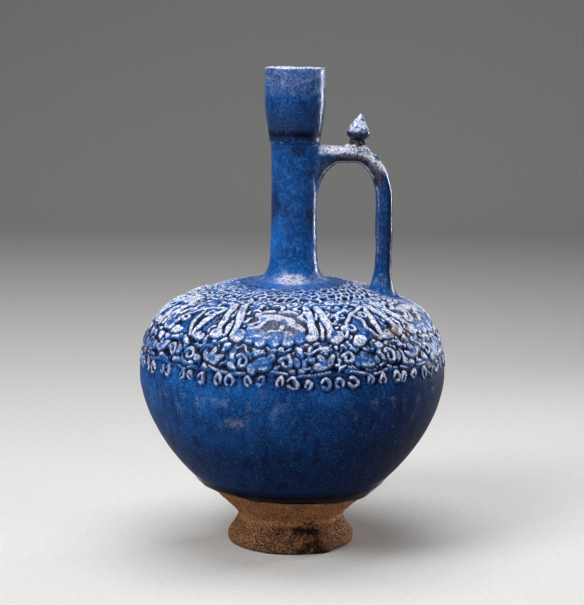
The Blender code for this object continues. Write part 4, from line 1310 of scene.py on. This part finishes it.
def neck_radius(z):
    """The waist radius plus a flare that grows with the square of the distance from the waist."""
    above = np.clip((z - NECK_WAIST_Z) / (neck_top_z - NECK_WAIST_Z), 0, None)
    below = np.clip((NECK_WAIST_Z - z) / (NECK_WAIST_Z - seam_z - SHOULDER_RISE), 0, None)
    return NECK_WAIST_RADIUS + NECK_TOP_FLARE * above ** 2 + NECK_FOOT_FLARE * below ** 2


def pushed_out(points, lift):
    """Points of a turned wall moved straight away from the jug's axis: x and y times 1 + lift / radius."""
    radius = np.hypot(points[..., 0], points[..., 1])
    return points * np.stack([1 + lift / radius, 1 + lift / radius, np.ones_like(radius)], axis=-1)


def neck_tube(columns=200):
    """The outside up from the fillet, the bore back down, and a step inside the fillet."""
    outer_z = np.linspace(fillet_top_z, neck_top_z + 1.0, 90)
    inner_radius = [BORE_RADIUS, BORE_RADIUS, HOLE_RADIUS, STEP_RADIUS, STEP_RADIUS]
    inner_z = [neck_top_z + 1.0, NECK_WAIST_Z, STEP_Z, STEP_Z, fillet_top_z - 0.5]
    radius = np.concatenate([neck_radius(outer_z), inner_radius])
    points = turned(radius, np.concatenate([outer_z, inner_z]), columns)
    outside = (np.arange(len(radius)) < len(outer_z))[:, None]
    points = pushed_out(points, throwing(points) * outside)
    z = points[..., 2]
    away = smooth(z, fillet_top_z, fillet_top_z + 12.0)
    pool = 0.12 * hump(z, JOINT_Z, 1.2) + away * (0.17 + 0.25 * spots(points, 16, 62, 0.3, 1.5))
    # Painted shade down the right of the neck, on the side turned from the key light.
    pool = pool + 0.22 * away * patch(columns, 52, 20) * smooth(z, 230.0, 208.0)
    bloom = 0.08 * away * spots(points, 9, 63, 0.6, 1.6)
    thin = 0.25 * away * spots(points * RUNNING, 5, 64, 1.1, 1.9)
    return points, dict(pool=pool, bloom=bloom, thin=thin)


skin("neck_tube", *neck_tube(), glaze, "cobalt_glaze", ["neck"])

# %% Fillet at the foot of the neck


def neck_foot(columns=240):
    """A trumpet curve from the neck's side to the shoulder, and its back a little way in."""
    top = (neck_radius(fillet_top_z), fillet_top_z)
    rim_z = shoulder_z(fillet_radius)
    rim, back_rim = (fillet_radius, rim_z), (fillet_radius - 1.5, rim_z - 1.0)
    flare = bezier(top, (top[0], top[1] - 17.0), (fillet_radius - 15.0, rim_z + 0.8), rim, 44)
    back = bezier(back_rim, (19.0, rim_z + 0.4), (13.6, 166.0), (top[0] - 0.6, top[1] - 1.0), 12)
    outline = np.concatenate([flare, back])
    points = turned(*outline.T, columns)
    outside = (np.arange(len(outline)) < len(flare))[:, None]
    points = pushed_out(points, throwing(points) * outside)
    # The fillet carries the painted highlight round the foot of the neck.
    return points, dict(bloom=highlight_round_neck(points), pool=0.1)


skin("neck_foot", *neck_foot(), glaze, "cobalt_glaze", ["neck_fillet"])

# %% Collar
collar_low, collar_high = node_box("collar_ring")
collar_z = (collar_low[2] + collar_high[2]) / 2


def collar(columns=260):
    """A low bead, lumpy along its length, that eases onto the neck and the mouth: (1 - share^2)^1.2 high."""
    half = (collar_high[2] - collar_low[2]) / 2 + 0.7
    share = np.linspace(-1, 1, 22)
    bulge = (1 - share ** 2) ** 1.2
    inner = neck_radius(neck_top_z) - 0.25
    rise = (collar_high[0] - inner) * 0.6
    outside = turned(inner + rise * bulge, collar_z + half * share, columns)
    lump = 0.22 * wander(outside, 8, 81) + 0.10 * wander(outside, 3, 82)
    outside = outside + facing(outside, False) * (lump * bulge[:, None] + throwing(outside))[..., None]
    back = turned(np.full(4, inner - 1.2), np.linspace(collar_z + half, collar_z - half, 4), columns)
    hidden = np.zeros((len(back), columns))
    worn_rim = spots(outside, 5, 83, 0.3, 1.2) * smooth(bulge, 0.35, 0.9)[:, None]
    groove = (0.35 + 0.33 * smooth(share, 0.25, 0.8))[:, None] * np.ones(columns)
    thin, pool = (np.concatenate([values, hidden]) for values in (0.45 * worn_rim, groove))
    return np.concatenate([outside, back]), dict(thin=thin, pool=pool, matt=0.8)


skin("collar_bead", *collar(), glaze, "cobalt_glaze", ["collar_ring"])

# %% Mouth
mouth_low, mouth_high = node_box("mouth")
lip_radius, lip_z = mouth_high[0], mouth_high[2]
MOUTH_FOOT_RADIUS, MOUTH_WALL = 15.5, 3.5
SWELL_FROM_Z, SWELL_TO_Z = 248.0, 273.0
BORE_TOP_Z = 256.0
GROOVE_Z = 250.4


def mouth_radius(z):
    """The foot radius plus a swell that follows a quarter of a sine wave."""
    share = np.clip((z - SWELL_FROM_Z) / (SWELL_TO_Z - SWELL_FROM_Z), 0, 1)
    return MOUTH_FOOT_RADIUS + (lip_radius - MOUTH_FOOT_RADIUS) * np.sin(share * math.pi / 2)


def mouth_fields(points, edge):
    """Pool in the groove over the collar, a film towards the lip, a worn edge and a brown spot in front."""
    columns, z = points.shape[1], points[..., 2]
    thin = edge[:, None] * spots(points, 4, 93, -1.8, -0.9)
    groove = hump(z, GROOVE_Z, 2.4)
    pool = groove * (0.45 + 0.1 * wander(points, 9, 96)) + 0.16 + 0.24 * smooth(z, 278.0, 258.0)
    film_foot = 270.5 + 1.5 * wander(points * (1, 1, 0), 9, 97)
    film = 0.1 * smooth(z, film_foot, film_foot + 6.0) + 0.32 * smooth(z, 262.0, 290.0)
    bloom = film * (0.85 + 0.25 * wander(points * (0.3, 0.3, 1.0), 4, 94))
    soil = 0.8 * patch(columns, -14, 16) * hump(z, 281.0, 5.0) * spots(points, 5, 95, 0.2, 1.1)
    return dict(thin=np.clip(thin, 0, 1), pool=pool, bloom=bloom, stain=soil, matt=0.9 * groove)


def mouth(columns=220):
    """The outside, a worn round lip, and the inside down to the bore. The lip runs a little out of
    level."""
    lip = MOUTH_WALL / 2
    outer_z = np.linspace(mouth_low[2], lip_z - lip, 60)
    turn = np.linspace(0, math.pi, 14)[1:]
    inner_z = np.linspace(lip_z - lip, mouth_low[2], 16)[1:]
    inner = np.where(inner_z > BORE_TOP_Z, mouth_radius(inner_z) - MOUTH_WALL, BORE_RADIUS)
    radius = np.concatenate([mouth_radius(outer_z), lip_radius - lip + lip * np.cos(turn), inner])
    height = np.concatenate([outer_z, lip_z - lip + lip * np.sin(turn), inner_z])
    points = turned(radius, height, columns)
    lift = throwing(points) + 0.025 * wander(points, 4, 91)
    points = points + facing(points, True) * lift[..., None]
    tilt = 0.35 * wander(points * (1, 1, 0), 18, 92) + 0.45 * np.cos(around(columns))
    points[..., 2] = np.minimum(points[..., 2] + tilt * smooth(height, 280, 290)[:, None], lip_z + 0.6)
    over_lip = smooth(np.sin(turn), 0.3, 0.7) + (turn > 2.0)
    edge = np.concatenate([np.zeros(len(outer_z)), over_lip, inner_z > lip_z - 9.0])
    return points, mouth_fields(points, edge)


skin("mouth_tube", *mouth(), glaze, "cobalt_glaze", ["mouth"])

# %% [markdown]
# ## Handle
#
# A strap of clay, nearly square in section, that leaves the neck, turns over in a quarter of an oval and
# drops straight to the shoulder. A bevelled curve would do for the strap, but its ends have to spread on
# their hosts. So it is a rounded square carried along a path, and at both ends a surface is drawn from the
# strap's last ring to a footprint that lies along the host's skin.

# %% Handle
handle_low, handle_high = node_box("handle")
HALF_THICKNESS = 5.1
strap_half_width = handle_high[1]
SQUARENESS = 2.3
handle_top_z = handle_high[2] - HALF_THICKNESS
handle_x = handle_high[0] - HALF_THICKNESS
handle_from_x, handle_to_z = handle_low[0] - 0.15, handle_low[2] - 0.15
ARCH_FROM_X, ARCH_TO_Z = 36.0, 210.0
HANDLE_COLUMNS = 72


def strap_section():
    """A rounded square of unit half-axes: cosine and sine, each raised to the power 2 / squareness."""
    angle = around(HANDLE_COLUMNS)
    power = 2 / SQUARENESS
    thick, wide = (np.sign(wave) * np.abs(wave) ** power for wave in (np.cos(angle), np.sin(angle)))
    return angle, thick, wide


def strap_path():
    """Middle points of the strap: level from the neck, a quarter of an ellipse, then straight down."""
    turn = np.linspace(math.pi / 2, 0, 60)
    arch_x = ARCH_FROM_X + (handle_x - ARCH_FROM_X) * np.cos(turn)
    arch_z = ARCH_TO_Z + (handle_top_z - ARCH_TO_Z) * np.sin(turn)
    x = np.concatenate([np.linspace(handle_from_x, ARCH_FROM_X, 10)[:-1], arch_x, np.full(40, handle_x)])
    z = np.concatenate([np.full(9, handle_top_z), arch_z, np.linspace(ARCH_TO_Z, handle_to_z, 41)[1:]])
    return np.stack([x, np.zeros_like(x), z], axis=1)


def hand_pulled(points):
    """Unevenness of the strap: slow thumb waves and small dents."""
    return 0.16 * wander(points, 22, 101) + 0.06 * wander(points, 6, 102)


def strap():
    """The section carried along the path, square to it: half the thickness along the outward way, half the
    width along y."""
    path = strap_path()
    ahead = np.gradient(path, axis=0)
    ahead /= np.linalg.norm(ahead, axis=1, keepdims=True)
    outward = np.stack([-ahead[:, 2], np.zeros(len(path)), ahead[:, 0]], axis=1)
    points = path[:, None] + HALF_THICKNESS * strap_thick[None, :, None] * outward[:, None]
    return points + strap_half_width * strap_wide[None, :, None] * np.array([0.0, 1.0, 0.0])


strap_angle, strap_thick, strap_wide = strap_section()
strap_points = strap()
strap_facing = -facing(strap_points, False)
# The edge of the section that faces the gap and the front, where a painted reflection runs as a pale line.
edge_reflection = hump(strap_angle, 1.25 * math.pi, 0.13)
print("the strap is", 2 * HALF_THICKNESS, "mm thick and", round(2 * strap_half_width, 1), "mm wide")

# %% Glaze on the strap


def strap_pool_and_shade(z, outward):
    """How far a point lies under the arch, from 0 to 1, and how dark the strap is: a little pooled glaze all
    over, and painted shade under the arch and on the outer side below it."""
    under = smooth(-outward[..., 2], -0.2, 0.5) * smooth(z, 216.0, 226.0)
    outer = smooth(outward[..., 0], 0.1, 0.6) * smooth(z, 226.0, 212.0)
    return under, 0.35 + 0.6 * under + 0.25 * outer


def strap_fields(points, outward):
    """Thin glaze with painted highlight on upward faces, a painted reflection along the inner edge, painted
    shade underneath, brown soil under the arch and a pale film in streaks that paints light on one side."""
    z = points[..., 2]
    pool = strap_pool_and_shade(z, outward)[1]
    # Thin glaze on upward faces, which also paints highlight there.
    up = smooth(outward[..., 2] + 0.55 * smooth(z, 222.0, 232.0), 0.30, 0.85)
    side_face = hump(strap_angle, 1.48 * math.pi, 0.5) * smooth(z, 216.0, 226.0)
    thin = 0.95 * up * spots(points, 7, 103, -1.6, -0.2) + 0.25 * spots(points, 4, 104, 1.0, 1.8)
    # A painted reflection along the inner edge.
    line = edge_reflection * (0.3 + 0.55 * smooth(z, 205.0, 228.0))
    thin = thin + line * spots(points, 9, 109, -1.4, -0.2)
    soil = 0.6 * side_face * smooth(points[..., 0], 22.0, 32.0) * spots(points, 8, 105, -1.1, 0.5)
    # A pale film in streaks on the faces turned to the neck, which also paints light on that lit side.
    bloom = 0.2 * spots(points * RUNNING, 6, 106, 0.0, 1.2) * smooth(-outward[..., 0], -0.2, 0.6)
    return dict(thin=np.clip(thin, 0, 1), pool=pool, stain=soil, bloom=bloom + 0.16 * side_face)


lifted_strap = strap_points + strap_facing * hand_pulled(strap_points)[..., None]
glaze_on_strap = strap_fields(strap_points, strap_facing)
skin("handle_strap", lifted_strap, glaze_on_strap, glaze, "cobalt_glaze", ["handle"], rows_closed=False)

# %% Shapes of the handle's roots
UPPER_ROOT_HALF_ANGLE = math.radians(48.0)
SMEARED_UP = 1.4
PRESSED_IN = 0.2
upper_low, upper_high = node_box("handle_upper_root")
lower_low, lower_high = node_box("handle_lower_root")


def pressed_root(ring, leaving, edge, inside, rows=34):
    """A surface from a ring to a footprint: a cubic that leaves along the strap and arrives along the host.
    inside is a smaller footprint, which gives the way it spreads and closes the root below."""
    spread = edge - inside
    spread /= np.linalg.norm(spread, axis=1, keepdims=True)
    along = np.abs((edge - ring) @ leaving)[:, None]
    across = np.abs(np.sum((edge - ring) * spread, axis=1, keepdims=True))
    t = np.linspace(0, 1, rows)[:, None, None]
    weights = (2 * t ** 3 - 3 * t ** 2 + 1, t ** 3 - 2 * t ** 2 + t, t ** 2 * (3 - 2 * t), t ** 3 - t ** 2)
    ways = (ring, leaving * along * 1.5, edge, spread * across * 1.4)
    skirt = sum(weight * way[None] for weight, way in zip(weights, ways))
    return np.concatenate([skirt, inside[None] + leaving * 0.6])


def upper_footprint(angle, share):
    """Where the root meets the neck: an upright oval on the tube, sunk by a fifth of a millimetre."""
    top_z = upper_high[2] + SMEARED_UP
    middle_z, half_height = (top_z + upper_low[2]) / 2, (top_z - upper_low[2]) / 2
    z = middle_z + half_height * np.cos(angle) * share
    turn = UPPER_ROOT_HALF_ANGLE * np.sin(angle) * share
    radius = neck_radius(z) - PRESSED_IN
    return np.stack([radius * np.cos(turn), radius * np.sin(turn), z], axis=1)


def lower_footprint(angle, share):
    """Where the root meets the shoulder: a level oval on the dome, sunk by a fifth of a millimetre."""
    middle_x, half_length = (lower_high[0] + lower_low[0]) / 2, (lower_high[0] - lower_low[0]) / 2
    x = middle_x + half_length * np.cos(angle) * share
    y = lower_high[1] * np.sin(angle) * share
    return np.stack([x, y, shoulder_z(np.hypot(x, y)) - PRESSED_IN], axis=1)


print("the upper root is smeared", SMEARED_UP, "mm up the neck")

# %% Roots of the handle


def root_fields(points, outward, ease):
    """Glaze that goes on from the strap's: thin with painted highlight on top, worn spots, a painted
    reflection along the inner edge, pooled glaze and painted shade below, fading towards the host, and a
    pale film in between."""
    z = points[..., 2]
    share = np.linspace(0, 1, len(points))[:, None]
    # Thin glaze on top, which also paints highlight there.
    up = smooth(outward[..., 2] - 0.5 * share, -0.25, 0.3)
    up = up * smooth(z, 222.0, 232.0) * smooth(share, 0.97, 0.5)
    under, pool = strap_pool_and_shade(z, outward)
    # Worn spots, and a painted reflection along the inner edge under the arch.
    worn_spots_and_edge_reflection = 0.3 * spots(points, 5, 108, 0.8, 1.7) + 0.85 * under * edge_reflection
    pale = 0.3 * spots(points, 9, 107, -0.2, 1.0) * ease
    return dict(bloom=pale, thin=np.clip(0.95 * up + worn_spots_and_edge_reflection, 0, 1), pool=pool * (1 - 0.75 * share))


def handle_root(footprint, row, leaving, side):
    """A root between one end row of the strap and its footprint, with the strap's unevenness in between."""
    edge, inside = footprint(strap_angle, 1.0), footprint(strap_angle, 0.8)
    points = pressed_root(lifted_strap[row], np.array(leaving), edge, inside)
    outward = side * facing(points, False)
    ease = np.sin(np.linspace(0, math.pi, len(points)))[:, None]
    points = points + outward * (hand_pulled(points) * ease)[..., None]
    return points, root_fields(points, outward, ease)


roots = (
    ("handle_upper_root", upper_footprint, 0, (-1.0, 0.0, 0.0), 1),
    ("handle_lower_root", lower_footprint, -1, (0.0, 0.0, -1.0), -1),
)
for root_name, *shape in roots:
    skin(root_name + "_pad", *handle_root(*shape), glaze, "cobalt_glaze", [root_name], rows_closed=False)

# %% [markdown]
# ## Bud for the thumb
#
# A pointed bud, cut in six soft facets, leans a little outwards on a bed of crumbling pale clay. The bud
# is a turned outline whose radius dips between its corners, which keeps the facets as soft as glaze leaves
# them. The bed is a low mound. The crumbs could be scattered by a particle system, but a few dozen are
# quickly set in a loop, each a golden angle past the last.

# %% Bud
BUD_X = 37.6
BUD_TILT = math.radians(7.0)
BUD_RADIUS, BUD_HEIGHT, BUD_STEM_RADIUS, KEEL_Z = 7.0, 15.6, 3.7, 4.9
SEAT_HEIGHT = 3.2
bud_base_z = handle_high[2] + SEAT_HEIGHT + 0.6


def leaning(points):
    """Turns points about the bud's base, away from the neck, and sets them on the handle."""
    c, s = math.cos(BUD_TILT), math.sin(BUD_TILT)
    x = c * points[..., 0] + s * points[..., 2] + BUD_X
    z = c * points[..., 2] - s * points[..., 0] + bud_base_z
    return np.stack([x, points[..., 1], z], axis=-1)


def bud_outline():
    """A stem, a rounded underside, a keel, and a cone with hollow sides up to the point."""
    keel, point = (BUD_RADIUS, KEEL_Z), (0.5, BUD_HEIGHT)
    stem = np.array([(1.0, -1.2), (BUD_STEM_RADIUS, -1.2), (BUD_STEM_RADIUS + 0.2, -0.6)])
    under = bezier((BUD_STEM_RADIUS + 0.7, 0.2), (BUD_RADIUS - 0.4, 1.0), (BUD_RADIUS + 0.2, 3.0), keel, 14)
    hollow_side = ((BUD_RADIUS * 0.84, KEEL_Z + 3.2), (BUD_RADIUS * 0.40, BUD_HEIGHT - 3.0))
    return np.concatenate([stem, under, bezier(keel, *hollow_side, point, 34)[1:]])


def bud(columns=120):
    """The outline turned, less up to a twentieth of its radius between six corners."""
    outline = bud_outline()
    dip = 0.055 * (1 - np.abs(np.cos(3 * around(columns) + 0.4)))
    radius = outline[:, :1] * (1 - dip * smooth(outline[:, 1:], 2.0, 6.0))
    points = turned(radius, outline[:, 1:] * np.ones(columns), columns)
    points = points + facing(points, False) * (0.10 * wander(points, 5, 111))[..., None]
    z = points[..., 2]
    # Thin glaze above the keel that also paints light on the upper cone; painted shade on its right and
    # below.
    thin = smooth(z, KEEL_Z - 1.6, KEEL_Z + 1.2) * (0.82 + 0.25 * wander(points, 3.0, 112))
    thin = thin * (1 - 0.85 * patch(columns, 55, 40) * smooth(z, KEEL_Z + 4.0, KEEL_Z))
    pool = 0.45 * smooth(z, KEEL_Z + 3.0, KEEL_Z) + 0.4 * smooth(z, KEEL_Z, 2.0)
    soil = 0.5 * smooth(z, KEEL_Z, KEEL_Z - 2.0) * spots(points, 4, 113, -0.5, 0.8)
    bloom = 0.14 * smooth(z, KEEL_Z + 1.0, KEEL_Z - 3.0)
    return leaning(points), dict(thin=np.clip(thin, 0, 1), pool=pool, stain=soil, bloom=bloom)


skin("thumb_bud", *bud(), glaze, "cobalt_glaze", ["bud"], rows_closed=False)

# %% Bed of the bud
seat_low, seat_high = node_box("bud_seat")
BED_TOP_RADIUS = 4.6


def strap_crown(x, y):
    """Height of the strap's upper skin near the start of the arch: the ellipse of the path plus the rounded
    square of the section."""
    share = np.clip(x - ARCH_FROM_X, 0, None) / (handle_x - ARCH_FROM_X)
    crown = ARCH_TO_Z + (handle_top_z - ARCH_TO_Z) * np.sqrt(1 - share ** 2)
    side = np.clip(1 - (np.abs(y) / strap_half_width) ** SQUARENESS, 0, 1)
    return crown + HALF_THICKNESS * side ** (1 / SQUARENESS)


def bed_of_clay(columns=120, rows=18):
    """A mound from an oval on the strap up to the bud's stem: radius and height ease from foot to top."""
    turn = around(columns)
    share = np.linspace(0, 1, rows)[:, None]
    half_length, half_breadth = (seat_high[0] - seat_low[0]) / 2, seat_high[1]
    foot_x, foot_y = BUD_X + half_length * np.sin(turn), -half_breadth * np.cos(turn)
    foot = np.stack([foot_x, foot_y, strap_crown(foot_x, foot_y) - 0.3], axis=-1)
    top = leaning(turned([BED_TOP_RADIUS], [-0.4], columns)[0])
    draw = 1 - (1 - share) ** 1.6
    points = foot * (1 - draw[..., None]) + top * draw[..., None]
    points[..., 2] = foot[:, 2] * (1 - share ** 1.3) + top[:, 2] * share ** 1.3
    rough = 0.35 * wander(points, 3.2, 121) + 0.2 * wander(points, 1.5, 122, 40)
    points = points + facing(points, False) * (rough * np.sin(math.pi * share) ** 0.5)[..., None]
    gaps = 0.45 + 0.55 * spots(points, 2.6, 123, -0.8, 0.2, 40)
    return points, dict(stain=np.maximum(gaps, smooth(share, 0.4, 0.65)))


skin("bed_of_clay", *bed_of_clay(), pale_clay, "pale_clay", ["bud_seat"], rows_closed=False)

# %% Crumbs round the bud
CRUMBS = 34
GOLDEN = 0.618


def crumb(middle, size, seed, columns=10, rows=6):
    """A rough lump: a ball whose radius wanders."""
    turn = around(columns)
    tilt = np.linspace(0.3, math.pi - 0.3, rows)[:, None]
    reach, height = np.sin(tilt), np.cos(tilt) * np.ones(columns)
    ball = np.stack([reach * np.sin(turn), reach * np.cos(turn), height], axis=-1)
    return middle + ball * (size * (1 + 0.25 * wander(ball, 1.6, seed)))[..., None]


def crumbs():
    """Points and faces of all crumbs, each a golden angle further round the bud, higher the nearer to
    it."""
    rng = np.random.default_rng(9)
    points, faces = np.empty((0, 3)), []
    for i in range(CRUMBS):
        turn = i * 2 * math.pi * GOLDEN
        share = rng.uniform(0.1, 1.0)
        x = BUD_X + (4.2 + 2.6 * share) * math.sin(turn)
        y = (3.8 + 1.2 * share) * -math.cos(turn)
        z = strap_crown(x, y) + 0.4 * (1 - share) * SEAT_HEIGHT + 0.1
        flat, sides, ends = closed(crumb(np.array([x, y, z]), rng.uniform(0.55, 1.15), 200 + i), False)
        faces += (sides + len(points)).tolist() + (ends + len(points)).tolist()
        points = np.concatenate([points, flat])
    return points, faces


crumb_points, crumb_faces = crumbs()
crumb_mesh = bpy.data.meshes.new("clay_crumbs")
crumb_mesh.from_pydata((crumb_points * MM).tolist(), [], crumb_faces)
crumb_mesh.shade_smooth()
put_on_jug("clay_crumbs", crumb_mesh, pale_clay, "pale_clay", ["bud_seat"])
print(CRUMBS, "crumbs")

# %% [markdown]
# ## Coil inside the belly
#
# The coil smeared over the seam inside the jug hardly shows, so it keeps its CAD shape and only takes the
# finish of the clay inside.

# %% Coil and sizes
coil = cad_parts["belly_coil"]
for material_slot in coil.material_slots:
    material_slot.material = inner_clay

sizes = {"cad": [list(map(float, corner)) for corner in cad_box]}
sizes["scene"] = [list(map(float, corner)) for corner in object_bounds()]
print("CAD box", sizes["cad"], "scene box", sizes["scene"])
